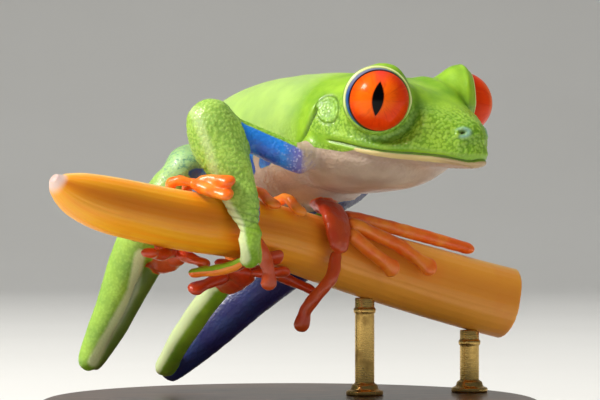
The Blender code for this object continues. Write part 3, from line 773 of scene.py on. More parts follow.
def work_limbs(skin):
    """Creases at the wrist, and the fuller flesh of the fingers and toes."""
    digits = skin.of("finger", "toe")
    plump = PLUMPNESS * digits
    for finger, more in FAR_PLUMPNESS.items():
        plump += more * skin.of(f"{finger}_left")
    skin.push(skin.soft(plump, 8))
    palms = skin.soft(skin.of("hand", "foot"), 6)
    digits = skin.soft(digits, 6)
    skin.push(0.10 * waves(skin.points, 1.1, 5.0) * palms)
    skin.push(0.045 * waves(skin.points, 0.9, 9.0) * digits)
    across, deep, height = skin.points.T
    wrist = skin.soft(skin.of("forearm_right", "hand_right"), 4)
    slant = height + 0.25 * (across - deep * 0.3)
    wander = 0.25 * waves(skin.points, 1.6, 7.0)
    creases = bump(np.abs((slant + wander) / CREASE_SPACING % 1.0 - 0.5), 0.17)
    creases *= bump(height - WRIST_HEIGHT, 1.5)
    skin.push(-0.06 * creases * wrist)
    # Painted shade in the wrist creases.
    skin.mark("crease", creases * wrist)


def mark_colours(skin):
    """Where each colour lies, from the piece of the body and the way the skin faces, with painted
    sunlight on upward faces and painted shade and highlights on some pieces.
    """
    of, back, height = skin.of, skin.back, skin.height
    facing = skin.soft(skin.normals, 12)
    rightward, toward_front, rise = facing[:, 0], -facing[:, 1], facing[:, 2]
    wander = waves(skin.points, 1.7, 3.0)
    ragged = 0.25 * wander

    trunk = of("trunk")
    under = smoothstep(0.35, -0.35, skin.over(GREEN_EDGE) + ragged)
    below_corner = 0.75 * smoothstep(1.0, 3.6, back)
    throat = smoothstep(-0.05, -0.30, skin.over(MOUTH_LINE) + below_corner)
    flank = trunk * under * smoothstep(-0.4, 0.4, skin.over(FLANK_EDGE) + ragged)
    flank *= smoothstep(10.0, 13.0, back) * smoothstep(37.0, 34.0, back)
    bars = bump(((back + 1.2 * wander + height * BAR_LEAN) / BAR_SPACING) % 1.0 - 0.5, 0.17)
    flank *= 1 - bars

    palm = of("hand_right") * smoothstep(0.1, -0.5, toward_front + 0.2 * rise)
    outermost = of("finger_4_right") * smoothstep(-0.15, 0.25, rise)
    orange = of("finger", "toe", "hand_left", "foot") + palm - outermost

    across, high = skin.points[:, 0], skin.points[:, 2]
    near_arm, arm = of("upper_arm_right"), of("upper_arm")
    inner_arm = of("forearm_right") * smoothstep(0.75, 0.95, skin.soft(rightward, 30))
    blue = arm * smoothstep(0.85, 0.5, rise)
    blue += inner_arm * bump(high - 22.2, 1.6)
    blue += of("forearm_left") * smoothstep(0.8, 0.5, rise)
    blue += of("thigh") * smoothstep(0.15, -0.25, rise + ragged * 0.3)
    blue += of("shank_left") * smoothstep(0.85, 0.55, 0.7 * (rise - rightward))
    blue += of("shank_right") * smoothstep(-0.1, -0.5, toward_front)
    blue += flank
    cream = trunk * under * (1 - np.clip(flank, 0, 1)) + of("head", "lower_jaw") * throat
    cream += near_arm * smoothstep(0.2, 1.2, across)

    places = skin.points[:, (0, 2)]
    pale = of("tarsus_left") * smoothstep(0.1, 0.7, -rightward)
    pale += 0.5 * bump(skin.near(FOREARM_STRIPE, 2.4, places), 1.0) * of("forearm_right")
    pale *= smoothstep(-0.2, 0.3, toward_front)
    shin = skin.near(SHIN_STRIPE, 2.0, places)
    pale += bump(shin, 0.62) * of("shank_right", "tarsus_right") * (toward_front > 0)
    wrist = bump(skin.near(WRIST_STRIPE, 2.0, places), 0.75) * smoothstep(-0.1, 0.5, toward_front)
    pale += wrist * of("forearm_right", "hand_right") * 1.2
    knee = np.hypot(across - KNEE[0], high - KNEE[1])
    fading = near_arm * smoothstep(-0.2, 1.8, across)
    # Painted sunlight: the upward faces of the trunk behind the ears, and at half strength of the
    # near forearm and shank, are painted paler.
    sunned = trunk * smoothstep(7.5, 11.0, back) + of("forearm_right", "shank_right") * 0.5
    for name, mask, rounds in (
        ("orange", np.clip(orange, 0, 1), 4),
        ("blue", np.clip(blue - 0.6 * fading, 0, 1), 10),
        ("cream", np.clip(cream, 0, 1), 3),
        ("pale", np.clip(pale, 0, 1.2), 5),
        ("arm", near_arm * smoothstep(-0.4, 0.3, rise), 8),
        ("sunned", sunned * smoothstep(-0.5, 0.3, rise), 20),
        ("chest", arm * smoothstep(-1.8, 1.4, across), 12),
        # Painted shade on the far limbs.
        ("dusk", of(*SHADED_FAR_PIECES), 6),
        # Painted shade: the near tarsus, beside the pale shin stripe, is darkened to olive.
        ("olive", of("tarsus_right") * (1 - bump(shin, 0.5)), 8),
        # Painted highlight: a whitish pool of light on the near knee.
        ("knee", bump(knee, 2.3) * of("thigh_right", "shank_right", "trunk"), 0),
        # Painted shade: the pieces under the body, whose orange turns deep red.
        ("red", of(*SHADED_RED_PIECES), 6),
    ):
        skin.mark(name, skin.soft(mask, rounds))


# ------------------------------------------------------------- the materials


def arithmetic(operation, turned=False):
    """A method that adds a Math node; turned puts the other value first."""

    def made(value, other=0.0):
        first, second = (other, value) if turned else (value, other)
        settings = {"operation": operation}
        return value.paint.add("ShaderNodeMath", settings, {0: first, 1: second})

    return made


class Value:
    """A value socket on which arithmetic adds Math nodes."""

    def __init__(self, paint, socket):
        self.paint = paint
        self.socket = socket

    __add__ = __radd__ = arithmetic("ADD")
    __mul__ = __rmul__ = arithmetic("MULTIPLY")
    __sub__ = arithmetic("SUBTRACT")
    __rsub__ = arithmetic("SUBTRACT", turned=True)
    __truediv__ = arithmetic("DIVIDE")
    __pow__ = arithmetic("POWER")
    __abs__ = arithmetic("ABSOLUTE")


def rgb(red, green, blue):
    """A colour given as on a screen, from 0 to 255, as the shader's linear one."""
    linear = []
    for value in (red, green, blue):
        part = value / 255
        linear.append(part / 12.92 if part <= 0.04045 else ((part + 0.055) / 1.055) ** 2.4)
    return (*linear, 1.0)


class Paint:
    """A material and the nodes that make it."""

    def __init__(self, name, **constants):
        self.material = bpy.data.materials.new(name)
        self.material.use_nodes = True
        self.nodes = self.material.node_tree.nodes
        self.links = self.material.node_tree.links
        self.shader = self.nodes["Principled BSDF"]
        for socket, value in constants.items():
            self.shader.inputs[socket.replace("_", " ")].default_value = value

    def set(self, socket, value):
        """Give an input a constant or a link."""
        if isinstance(value, Value):
            self.links.new(value.socket, socket)
        else:
            socket.default_value = value

    def feed(self, name, value):
        self.set(self.shader.inputs[name], value)

    def add(self, kind, settings, sockets, output=0):
        """A node of a kind: its settings, then the values or links of its sockets."""
        node = self.nodes.new(kind)
        for name, value in settings.items():
            setattr(node, name, value)
        for name, value in sockets.items():
            self.set(node.inputs[name], value)
        return Value(self, node.outputs[output])

    def place(self):
        """The point's place in the model, in metres."""
        return self.add("ShaderNodeTexCoord", {}, {}, "Object")

    def mask(self, name):
        return self.add("ShaderNodeAttribute", {"attribute_name": name}, {}, "Fac")

    def vector(self, name):
        return self.add("ShaderNodeAttribute", {"attribute_name": name}, {}, "Vector")

    def noise(self, size, detail=3.0, rough=0.55, where=None):
        """Noise with lumps about a size across: in millimetres, or in the units of where."""
        sockets = {
            "Vector": where or self.place(),
            "Scale": 1 / size if where else 1 / (size * MM),
            "Detail": detail,
            "Roughness": rough,
        }
        return self.add("ShaderNodeTexNoise", {}, sockets)

    def cells(self, size):
        """How far a point is from the middle of its cell; cells are about a size across."""
        sockets = {"Vector": self.place(), "Scale": 1 / (size * MM)}
        return self.add("ShaderNodeTexVoronoi", {}, sockets)

    def stretched(self, *scale):
        """The point's place, with its three parts scaled."""
        return self.add("ShaderNodeMapping", {}, {"Vector": self.place(), "Scale": scale})

    def step(self, value, low, high):
        """0 below low and 1 above high, with a smooth change between."""
        settings = {"interpolation_type": "SMOOTHSTEP"}
        sockets = {"Value": value, "From Min": low, "From Max": high}
        return self.add("ShaderNodeMapRange", settings, sockets)

    def mix(self, first, second, factor):
        """The first colour turning into the second as factor goes from 0 to 1."""
        settings = {"data_type": "RGBA", "clamp_factor": True}
        return self.add("ShaderNodeMix", settings, {0: factor, 6: first, 7: second}, 2)

    def layers(self, colour, *rows):
        """A colour under others, each with the factor that shows it."""
        for over, factor in rows:
            colour = self.mix(colour, over, factor)
        return colour

    def split(self, vector):
        node = self.add("ShaderNodeSeparateXYZ", {}, {0: vector}).socket.node
        return [Value(self, output) for output in node.outputs]

    def relief(self, height, depth, strength):
        """Fine relief: a height from 0 to 1 that stands depth millimetres."""
        sockets = {"Strength": strength, "Distance": depth * MM, "Height": height}
        self.feed("Normal", self.add("ShaderNodeBump", {}, sockets))


def frog_paint(look):
    """The frog's skin: green above, cream below, blue sides and orange fingers."""
    paint = Paint(
        "frog skin",
        Specular_IOR_Level=0.55,
        Coat_Roughness=0.16,
        Coat_IOR=1.42,
        Subsurface_Weight=0.18,
        Subsurface_Scale=0.0007,
        Subsurface_Radius=(1.0, 0.6, 0.25),
    )
    step, mask = paint.step, paint.mask
    cloud = paint.noise(3.2)
    fleck = paint.noise(0.45, 4.0, 0.65)
    pores = paint.cells(0.20)
    domes, grained, knee, chest = mask("domes"), mask("grain"), mask("knee"), mask("chest")
    # Painted shade in the gaps between the grains.
    grain_gap_shade = grained * (1 - step(domes, 0.02, 0.3))
    ragged = (fleck - 0.5) * 0.35

    green = paint.layers(
        paint.mix(look.green_deep, look.green_light, step(cloud, 0.22, 0.80)),
        # Painted sunlight: pale green on the upward faces of the back, near forearm and near shank.
        (rgb(204, 230, 150), mask("sunned") * 0.42),
        # Painted highlight on the grain tops.
        (look.fleck_and_grain_highlight, domes * 0.22),
        # Painted shade between the grains, weaker where painted sunlight falls.
        (rgb(62, 112, 8), grain_gap_shade * (0.42 - 0.34 * mask("sunned"))),
        # The skin's own pale flecks, at random.
        (look.fleck_and_grain_highlight, step(fleck, 0.62, 0.78) * 0.25),
        # Painted shade: darker green in the crease round each lid.
        (rgb(50, 104, 6), mask("valley") * 0.5),
        (rgb(226, 238, 184), step(mask("pale") + fleck * 0.3, 0.40, 0.95) * 0.8),
        # Painted shade: dark olive on the near tarsus.
        (rgb(84, 100, 38), mask("olive") * 0.8),
        # Painted highlight: whitish on the knee; the teal speckle below it is the skin's own.
        (rgb(196, 232, 196), knee * 0.5),
        (rgb(40, 120, 120), step(fleck, 0.50, 0.62) * knee * 0.7),
    )
    blue = paint.layers(
        paint.mix(look.blue_deep, look.blue_light, step(cloud, 0.40, 0.62)),
        # Painted shade: the far limbs' blue darkened.
        (look.dusk, mask("dusk") * 0.9),
        (rgb(20, 128, 220), mask("arm") * 0.75),
        (rgb(116, 108, 178), step(chest + fleck * 0.3, 0.4, 1.2)),
        # Painted glints: near white on the grain tops of the chest.
        (rgb(206, 208, 238), step(domes, 0.35, 0.8) * chest * 0.7),
    )
    # The belly and throat: cream darkened as painted shade under the body, with random duller
    # clouds.
    cream = paint.layers(
        look.shaded_cream,
        (look.shaded_cream_clouds, step(cloud, 0.3, 0.7) * 0.5),
        (rgb(205, 170, 160), domes * 0.25),
    )
    orange = paint.layers(
        paint.mix(look.orange_deep, look.orange_light, step(cloud, 0.38, 0.66)),
        (rgb(255, 175, 90), step(fleck, 0.60, 0.80) * 0.4),
        # Painted shade: deep red over the orange of the hands and feet under the body.
        (look.red, mask("red") * 0.8),
    )
    colour = paint.layers(
        green,
        (cream, step(mask("cream") + ragged, 0.4, 0.6)),
        (blue, step(mask("blue") + ragged, 0.35, 0.65)),
        (orange, step(mask("orange") + ragged, 0.35, 0.65)),
        (rgb(226, 205, 140), step(mask("lip") + ragged, 0.4, 0.8)),
        # Painted shade: mauve-brown on the lip's front, under the snout.
        (rgb(158, 122, 104), mask("lip_front") * 0.6),
        (look.lid_rim, step(mask("lid"), 0.45, 0.85)),
        (rgb(170, 214, 120), mask("ear") * step(fleck, 0.4, 0.7) * 0.6),
        (rgb(150, 195, 175), mask("nostril_rim") * 0.85),
        # Painted shadow round the ear disc.
        (rgb(30, 50, 10), mask("ear_edge") * 0.6),
        (rgb(28, 40, 8), mask("mouth") * 0.75),
        # Painted shade in the shoulder fold.
        (rgb(36, 60, 10), mask("fold") * 0.7),
        # Painted shade in the wrist creases.
        (rgb(60, 90, 10), mask("crease") * 0.45),
        # Painted shade: near black inside the nostrils.
        (rgb(40, 14, 8), mask("nostril")),
    )
    paint.feed("Base Color", colour)
    rough = 0.36 + 0.16 * paint.noise(0.9, 2.0) + 0.10 * grained
    paint.feed("Roughness", rough - 0.08 * mask("orange"))
    paint.feed("Coat Weight", 0.24 + 0.55 * domes * grained)
    paint.relief((1 - pores) * (0.4 + 0.6 * grained) + fleck * 0.5, 0.040, 0.6)
    return paint.material


def eye_paint(look):
    """A red iris with a slit pupil, a dark rim and a slate crescent behind it."""
    paint = Paint(
        "eye",
        Roughness=0.3,
        Specular_IOR_Level=0.05,
        Coat_Weight=0.32,
        Coat_Roughness=0.04,
        Coat_IOR=1.36,
    )
    step = paint.step
    tail, rise, _ = paint.split(paint.vector("iris"))
    lean, rim = look.pupil_lean, look.iris_radius
    along = rise * math.cos(lean) - tail * math.sin(lean)
    width = abs(tail * math.cos(lean) + rise * math.sin(lean))
    slit = look.pupil_half_width * (1 - (along / look.pupil_half_height) ** 2) - width
    off_tail = tail + look.iris_shift
    off_rise = rise + look.iris_shift * 0.7
    reach = (off_tail * off_tail + off_rise * off_rise) ** 0.5
    parts = {0: off_tail / (reach + 0.05), 1: off_rise / (reach + 0.05), 2: reach * 0.12}
    spokes = paint.add("ShaderNodeCombineXYZ", {}, parts)
    streak = paint.noise(0.16, 4.0, 0.6, spokes)
    fine = paint.noise(0.07, 3.0, 0.7, spokes)
    red = step(reach - 0.35 * tail - 0.35 * rise + paint.noise(1.1) * 1.2, 1.9, 3.3)
    crown = step(along, 0.9, 1.9) * step(width, 0.9, 0.1)
    slate = paint.mix(rgb(34, 84, 150), rgb(112, 112, 144), step(rise, 0.2, 2.0))
    beyond = step(reach, rim + 0.16, rim + 0.24) * step(tail + rise * 0.6, -0.4, 0.6)
    colour = paint.layers(
        look.iris_orange,
        (look.iris_red, red),
        (look.iris_deep, step(reach, 2.1, 2.85) * 0.35),
        (look.iris_deep, step(streak, 0.45, 0.75) * 0.35),
        (rgb(255, 160, 60), step(fine, 0.58, 0.8) * 0.22),
        (rgb(226, 40, 50), crown * 0.55),
        (rgb(190, 60, 10), step(slit, -0.16, -0.01) * 0.5),
        (rgb(6, 4, 6), step(reach, rim, rim + 0.1)),
        (slate, beyond),
        (rgb(3, 2, 3), step(slit, -0.02, 0.05)),
    )
    paint.feed("Base Color", colour)
    paint.relief(streak * 0.7 + fine * 0.3, 0.02, 0.25)
    return paint.material


def bract_paint(look):
    """A waxy bract: orange with fine ribs and paler at its tip, with painted light on its ridge and
    far part and painted shade in its groove.
    """
    paint = Paint(
        "bract",
        Specular_IOR_Level=0.5,
        Coat_Weight=0.25,
        Coat_Roughness=0.3,
        Subsurface_Weight=0.15,
        Subsurface_Scale=0.0008,
        Subsurface_Radius=(1.0, 0.5, 0.15),
    )
    step, mask = paint.step, paint.mask
    lengthwise = paint.vector("lengthwise")
    ribs = paint.noise(0.045, 3.0, 0.6, lengthwise)
    broad = paint.noise(0.3, 3.0, 0.5, lengthwise)
    cloud = paint.noise(4.0)
    speck = paint.noise(0.35, 4.0, 0.7)
    pith = paint.mix(rgb(226, 190, 120), rgb(176, 120, 50), step(paint.cells(0.35), 0.2, 0.6))
    colour = paint.layers(
        look.orange,
        (look.yellow, step(broad, 0.30, 0.72) * 0.7),
        # Painted light: the far part paler, as it lies in sunlight.
        (look.far_end, mask("far_end")),
        # Painted shade in the groove, weaker on the lit far part; the same amber also colours the
        # fine ribs.
        (look.amber_and_groove_shade, mask("groove") * (1 - 0.5 * mask("far_end"))),
        # Painted highlight along the lit ridge on top.
        (look.pale, mask("ridge") * step(ribs, 0.25, 0.6) * 0.8),
        (look.amber_and_groove_shade, step(ribs, 0.55, 0.72) * 0.14),
        (rgb(235, 110, 20), step(cloud, 0.52, 0.72) * 0.15),
        (look.tip, step(mask("tip") + cloud * 0.5, 0.5, 1.2) * 0.85),
        (rgb(60, 36, 18), step(speck, 0.735, 0.77) * 0.8),
        (pith, mask("cut")),
    )
    paint.feed("Base Color", colour)
    paint.feed("Roughness", 0.38 + 0.2 * ribs + 0.2 * mask("cut"))
    paint.relief(ribs * 0.8 + speck * 0.2, 0.05, 0.5)
    return paint.material


def wood_paint(look):
    """Dark varnished hardwood, its grain running along the front."""
    paint = Paint("stand wood", Coat_Weight=0.45, Coat_Roughness=0.12, Coat_IOR=1.5)
    stretch = paint.stretched(0.12, 1.0, 0.7)
    warp = {0: paint.noise(1 / 160, 4.0, 0.5, stretch), 1: (0.0, 0.012, 0.006), 2: stretch}
    bent = paint.add("ShaderNodeVectorMath", {"operation": "MULTIPLY_ADD"}, warp)
    rings = paint.add(
        "ShaderNodeTexWave",
        {"wave_type": "BANDS", "bands_direction": "Y"},
        {"Vector": bent, "Scale": 260.0, "Distortion": 2.5, "Detail": 3.0},
        1,
    )
    fibre = paint.noise(1 / 3200, 3.0, 0.5, stretch)
    edge = paint.add("ShaderNodeNewGeometry", {}, {}, "Pointiness")
    colour = paint.layers(
        look.wood_dark,
        (look.wood_light, paint.step(rings, 0.15, 0.85) * 0.6),
        (look.wood_dark, paint.step(fibre, 0.5, 0.75) * 0.7),
        (look.wood_light, paint.step(edge, 0.52, 0.6) * 0.5),
    )
    paint.feed("Base Color", colour)
    paint.feed("Roughness", 0.34 + 0.16 * fibre)
    paint.relief(fibre * 0.7 + rings * 0.3, 0.03, 0.4)
    return paint.material


def brass_paint(look):
    """Drawn brass, with fine lines round the rod and a little tarnish."""
    paint = Paint("stand brass", Metallic=1.0)
    lines = paint.noise(1 / 2500, 2.0, 0.5, paint.stretched(0.25, 0.25, 4.0))
    tarnish = paint.step(paint.noise(1.6, 4.0, 0.6), 0.5, 0.78)
    paint.feed("Base Color", paint.mix(look.brass, look.brass_dull, tarnish * 0.6))
    paint.feed("Roughness", 0.20 + 0.14 * lines + 0.2 * tarnish)
    paint.relief(lines, 0.01, 0.3)
    return paint.material


def floor_paint(look):
    """A matt, faintly clouded floor."""
    paint = Paint("studio floor", Roughness=0.75)
    cloud = paint.noise(60.0)
    paint.feed("Base Color", paint.mix(look.floor, look.floor_shade, cloud * 0.25))
    paint.relief(paint.noise(0.6), 0.03, 0.2)
    return paint.material


# ------------------------------------------------------- bract and stand

# The bract's middle line: X, Y, Z and radius, from its tip to the cut end.
BRACT_LINE = (
    (-22.1, -22.2, 26.05, 0.5),
    (-21.4, -21.6, 25.30, 1.35),
    (-20.0, -20.4, 24.50, 2.15),
    (-17.6, -18.4, 23.65, 2.65),
    (-14.6, -15.7, 22.90, 2.80),
    (-10.4, -12.1, 22.00, 2.90),
    (-4.9, -7.2, 21.20, 3.00),
    (-0.5, -2.5, 20.10, 3.10),
    (4.0, 2.0, 18.60, 3.30),
    (11.5, 6.5, 16.30, 3.55),
    (18.0, 9.4, 14.40, 3.65),
    (22.5, 11.2, 13.20, 3.70),
)
BRACT_SIDES = 144
BRACT_STEPS = 16
# Round the bract, in radians from its top toward the front.
GROOVE_PLACE = math.radians(80.0)
GROOVE_SPREAD = math.radians(26.0)
KEEL_PLACE = 0.30  # on both sides of the top
KEEL_SPREAD = 0.16
SEAM_PLACE = GROOVE_PLACE + 0.55
SEAM_SPREAD = 0.05
RIDGE_RISE = 0.02  # of the keel and the seam, as a share of the radius
RIBS = ((0.012, 30, 0.0), (0.006, 71, 0.3))  # height, number and twist for each millimetre
FAR_END = (24.0, 34.0)  # from the tip, where the painted light of the far part comes in
TIP_END = 1.6
# The cut face: rings by share of the radius, and how far each lies within the cut.
CUT_FACE = ((0.97, -0.06), (0.93, 0.05), (0.7, 0.12), (0.4, 0.08), (0.12, 0.15))
CUT_RIM = 0.95  # the rings outside this share are the rim
RIM_PITH = 0.3  # how much of the pith's colour shows there
NOISE_TRAVEL = 0.02  # how far the ribs' noise moves on for each millimetre
AXIS_RADIUS = 0.01  # of the small ring that a turned form starts from and ends with
BASE_SIDES = 192
BASE_ROUNDING = 0.35
ROD_SIDES = 64
ROD_ROUNDING = 0.12


def curve_through(rows, steps):
    """Points on a smooth curve through the rows, other columns carried along."""
    rows = np.array(rows, float)
    padded = np.vstack([2 * rows[0] - rows[1], rows, 2 * rows[-1] - rows[-2]])
    points = []
    for before, start, end, after in zip(padded, padded[1:], padded[2:], padded[3:]):
        for t in np.arange(steps) / steps:
            slope = (end - before) * t
            bend = (2 * before - 5 * start + 4 * end - after) * t**2
            twist = (3 * start - before - 3 * end + after) * t**3
            points.append(0.5 * (2 * start + slope + bend + twist))
    return np.array([*points, rows[-1]])


def ring_mesh(rings):
    """A closed mesh over equal rings of points, each ring joined to the next."""
    count = len(rings[0])
    points = np.concatenate(rings)
    faces = []
    for start in range(0, len(points) - count, count):
        for i in range(count):
            j = (i + 1) % count
            faces.append((start + i, start + j, start + count + j, start + count + i))
    faces.append(tuple(range(count))[::-1])
    faces.append(tuple(range(len(points) - count, len(points))))
    mesh = mesh_from(points, faces)
    mesh.shade_smooth()
    return mesh


def build_bract(look):
    """The cut length of bract that the frog grips."""
    table = curve_through(BRACT_LINE, BRACT_STEPS)
    angles = 2 * math.pi * np.arange(BRACT_SIDES) / BRACT_SIDES
    from_top = np.minimum(angles, 2 * math.pi - angles)
    groove = bump(angles - GROOVE_PLACE, GROOVE_SPREAD)
    keel = bump(from_top - KEEL_PLACE, KEEL_SPREAD)
    seam = bump(angles - SEAM_PLACE, SEAM_SPREAD)
    form = 1 - look.groove_depth * groove + RIDGE_RISE * keel - RIDGE_RISE * seam
    rings, marks = [], []
    travelled = 0.0
    for index, (*middle, radius) in enumerate(table):
        before = table[max(index - 1, 0)][:3]
        after = table[min(index + 1, len(table) - 1)][:3]
        along = (after - before) / np.linalg.norm(after - before)
        if index:
            travelled += np.linalg.norm(middle - before)
        toward_front = np.cross(along, UP)
        toward_front /= np.linalg.norm(toward_front)
        upward = np.cross(toward_front, along)
        ribs = sum(high * np.cos(angles * n + travelled * twist) for high, n, twist in RIBS)
        spokes = np.outer(np.cos(angles), upward) + np.outer(np.sin(angles), toward_front)
        rings.append(middle + spokes * (radius * form + ribs)[:, None])
        level = np.full(BRACT_SIDES, travelled * NOISE_TRAVEL)
        place = np.stack([np.cos(angles), np.sin(angles), level], axis=1)
        tip = np.full(BRACT_SIDES, 1 - smoothstep(0.0, TIP_END, travelled))
        far_end = np.full(BRACT_SIDES, smoothstep(*FAR_END, travelled))
        marks.append((place, groove, keel, tip, far_end, np.zeros(BRACT_SIDES)))
    rim = rings[-1]
    for share, sink in CUT_FACE:
        rings.append(middle + (rim - middle) * share - along * sink)
        cut = np.full(BRACT_SIDES, 1.0 if share < CUT_RIM else RIM_PITH)
        marks.append((place * share, groove, keel, tip, far_end, cut))
    mesh = ring_mesh(rings)
    names = ("lengthwise", "groove", "ridge", "tip", "far_end", "cut")
    for name, column in zip(names, zip(*marks)):
        put_values(mesh, name, np.concatenate(column))
    piece = new_piece("bract", mesh, bract_paint(look))
    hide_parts("perch_bract")


def lathe(profile, middle, sides, depth=1.0):
    """A turned form from rows of radius and height, its depth a share of its width."""
    angles = 2 * math.pi * np.arange(sides) / sides
    circle = np.stack([np.cos(angles), np.sin(angles) * depth, np.zeros(sides)], axis=1)
    return ring_mesh([middle + circle * radius + UP * height for radius, height in profile])


def rounded(corners, reach, steps):
    """A profile with each corner but the ends rounded off."""
    corners = np.array(corners, float)
    rows = [corners[0]]
    for before, corner, after in zip(corners, corners[1:], corners[2:]):
        enter, leave = (
            corner + way / np.linalg.norm(way) * min(reach, np.linalg.norm(way) / 2)
            for way in (before - corner, after - corner)
        )
        for t in np.arange(steps + 1) / steps:
            rows.append(enter * (1 - t) ** 2 + corner * 2 * t * (1 - t) + leave * t**2)
    return [*rows, corners[-1]]


def stand_box(node):
    """The corners of a stand piece's box, and the middle of its underside."""
    low, high = (np.array(corner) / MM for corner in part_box(node))
    return low, high, (low + high) / 2 * (1, 1, 0) + UP * low[2]


def build_base(look):
    """The turned base: a bead round its edge over a small foot."""
    low, high, middle = stand_box("stand_base")
    half = (high - low) / 2
    top = high[2]
    corners = (
        (AXIS_RADIUS, 0.0),
        (0.965, 0.0),
        (0.985, 0.5),
        (0.985, 1.1),
        (1.0, 1.3),
        (1.0, 2.7),
        (0.984, 2.9),
        (0.984, 3.2),
        (0.965, top - 0.25),
        (0.935, top),
        (0.5, top),
        (AXIS_RADIUS, top),
    )
    profile = rounded([(share * half[0], height) for share, height in corners], BASE_ROUNDING, 4)
    mesh = lathe(profile, middle, BASE_SIDES, half[1] / half[0])
    piece = new_piece("base", mesh, wood_paint(look))
    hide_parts("stand_base")


def build_rod(number, look):
    """A brass rod with a collar where it enters the base and a shoulder above."""
    node = f"stand_rod_{number}"
    low, high, middle = stand_box(node)
    radius = (high[0] - low[0]) / 2
    floor = stand_box("stand_base")[1][2] - low[2]
    top = high[2] - low[2]
    corners = (
        (AXIS_RADIUS, 0.0),
        (radius, 0.0),
        (radius, floor),
        (radius * 1.9, floor),
        (radius * 1.9, floor + 0.45),
        (radius * 1.45, floor + 0.6),
        (radius * 1.3, floor + 1.1),
        (radius, floor + 1.25),
        (radius, top - 1.6),
        (radius * 1.14, top - 1.5),
        (radius * 1.14, top - 1.1),
        (radius, top - 1.0),
        (radius, top),
        (AXIS_RADIUS, top),
    )
    mesh = lathe(rounded(corners, ROD_ROUNDING, 3), middle, ROD_SIDES)
    piece = new_piece(f"rod_{number}", mesh, brass_paint(look))
    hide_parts(node)


# ------------------------------------------------------- eyes, skin and studio

EYE_RINGS = 72
EYE_SIDES = 108
CORNEA_RISE = 0.04
FLOOR_SIDE = 1.1  # the studio's sizes are in metres
FLOOR_FRONT = -0.9
CURVE_START = 0.50
CURVE_RADIUS = 0.3
CURVE_STEPS = 16
WALL_TOP = 1.4
SUBJECT = (0.0, 0.0, 0.024)
CAMERA_PLACE = (0.001, -0.3075, 0.024)
CAMERA_LENS = 182.6
NEAREST_SEEN = 0.01
# Each lamp's size, place and colour, and whether shiny pieces reflect it.
LAMPS = {
    "key": (0.14, (-0.32, -0.17, 0.36), (1.0, 0.97, 0.91), True),
    "top": (0.50, (0.02, 0.12, 0.50), (0.97, 0.98, 1.0), False),
    "fill": (0.50, (0.45, -0.30, 0.22), (1.0, 0.96, 0.9), False),
}


def build_eye(side, look):
    """An eyeball with a clear, slightly raised front."""
    points, faces = ball(np.zeros(3), 1.0, EYE_RINGS, EYE_SIDES)
    gaze = eye_look(side)
    toward_tail = np.cross(gaze, UP) * -SIDES[side]
    radius = EYE_RADIUS + CORNEA_RISE * smoothstep(0.45, 1.0, points[:, 2])
    axes = np.stack([toward_tail, UP, gaze])
    placed = EYEBALLS[side] + (points * radius[:, None]) @ axes
    if np.linalg.det(axes) < 0:
        faces = [face[::-1] for face in faces]
    mesh = mesh_from(placed, faces)
    mesh.shade_smooth()
    put_values(mesh, "iris", points * EYE_RADIUS * IRIS_SPREAD[side])
    material = bpy.data.materials.get("eye") or eye_paint(look)
    piece = new_piece(f"eyeball_{side}", mesh, material)
    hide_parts(f"eye_{side}")


def build_skin(look):
    """The frog's one skin, worked and painted."""
    fine = look.grain_size * 1.0
    mesh, owner = grow_skin(look.coarse_size, fine)
    skin = Sculpture(mesh, owner)
    work_eyelids(skin)
    work_mouth(skin)
    work_nostrils(skin)
    work_neck(skin)
    work_limbs(skin)
    mark_colours(skin)
    work_grain(skin)
    skin.write_marks()
    mesh.shade_smooth()
    piece = new_piece("frog_skin", mesh, frog_paint(look))
    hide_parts(*FLESH)


def put_in_scene(name, data, place):
    """An object of the studio, at its place in metres."""
    thing = bpy.data.objects.new(name, data)
    thing.location = place
    bpy.context.scene.collection.objects.link(thing)
    return thing


def build_studio(look):
    """A pale floor that curves up behind, soft lights and the camera."""
    for old in list(bpy.data.objects):
        if old.type in ("CAMERA", "LIGHT") or old.name == "Cube":
            bpy.data.objects.remove(old)
    profile = [(FLOOR_FRONT, 0.0), (CURVE_START, 0.0)]
    for step in range(1, CURVE_STEPS + 1):
        turn = math.pi / 2 * step / CURVE_STEPS
        along = CURVE_START + CURVE_RADIUS * math.sin(turn)
        profile.append((along, CURVE_RADIUS - CURVE_RADIUS * math.cos(turn)))
    profile.append((CURVE_START + CURVE_RADIUS, WALL_TOP))
    points = [(x, y, z) for y, z in profile for x in (-FLOOR_SIDE, FLOOR_SIDE)]
    faces = [(i, i + 1, i + 3, i + 2) for i in range(0, len(points) - 2, 2)]
    mesh = mesh_from(np.array(points) / MM, faces)
    mesh.shade_smooth()
    mesh.materials.append(floor_paint(look))
    floor = put_in_scene("studio_floor", mesh, (0.0, 0.0, 0.0))

    for name, (size, place, colour, seen) in LAMPS.items():
        light = bpy.data.lights.new(f"{name} light", "AREA")
        light.energy = getattr(look, f"{name}_power")
        light.size = size
        light.color = colour
        lamp = put_in_scene(light.name, light, place)
        lamp.visible_glossy = seen
        direction = Vector(SUBJECT) - lamp.location
        lamp.rotation_euler = direction.to_track_quat("-Z", "Y").to_euler()

    world = bpy.data.worlds.new("studio air")
    world.use_nodes = True
    air = world.node_tree.nodes["Background"].inputs
    air["Color"].default_value = look.air
    air["Strength"].default_value = look.air_strength
    scene = bpy.context.scene
    scene.world = world
    scene.view_settings.view_transform = "Standard"

    lens = bpy.data.cameras.new("camera")
    lens.lens = CAMERA_LENS
    lens.clip_start = NEAREST_SEEN
    scene.camera = put_in_scene("camera", lens, CAMERA_PLACE)
    scene.camera.rotation_euler = (math.pi / 2, 0.0, 0.0)


# ------------------------------------------------------- settings and tools


def amount(name, description, value, low, high, **more):
    limits = {"min": low, "max": high, **more}
    return FloatProperty(name=name, description=description, default=value, **limits)


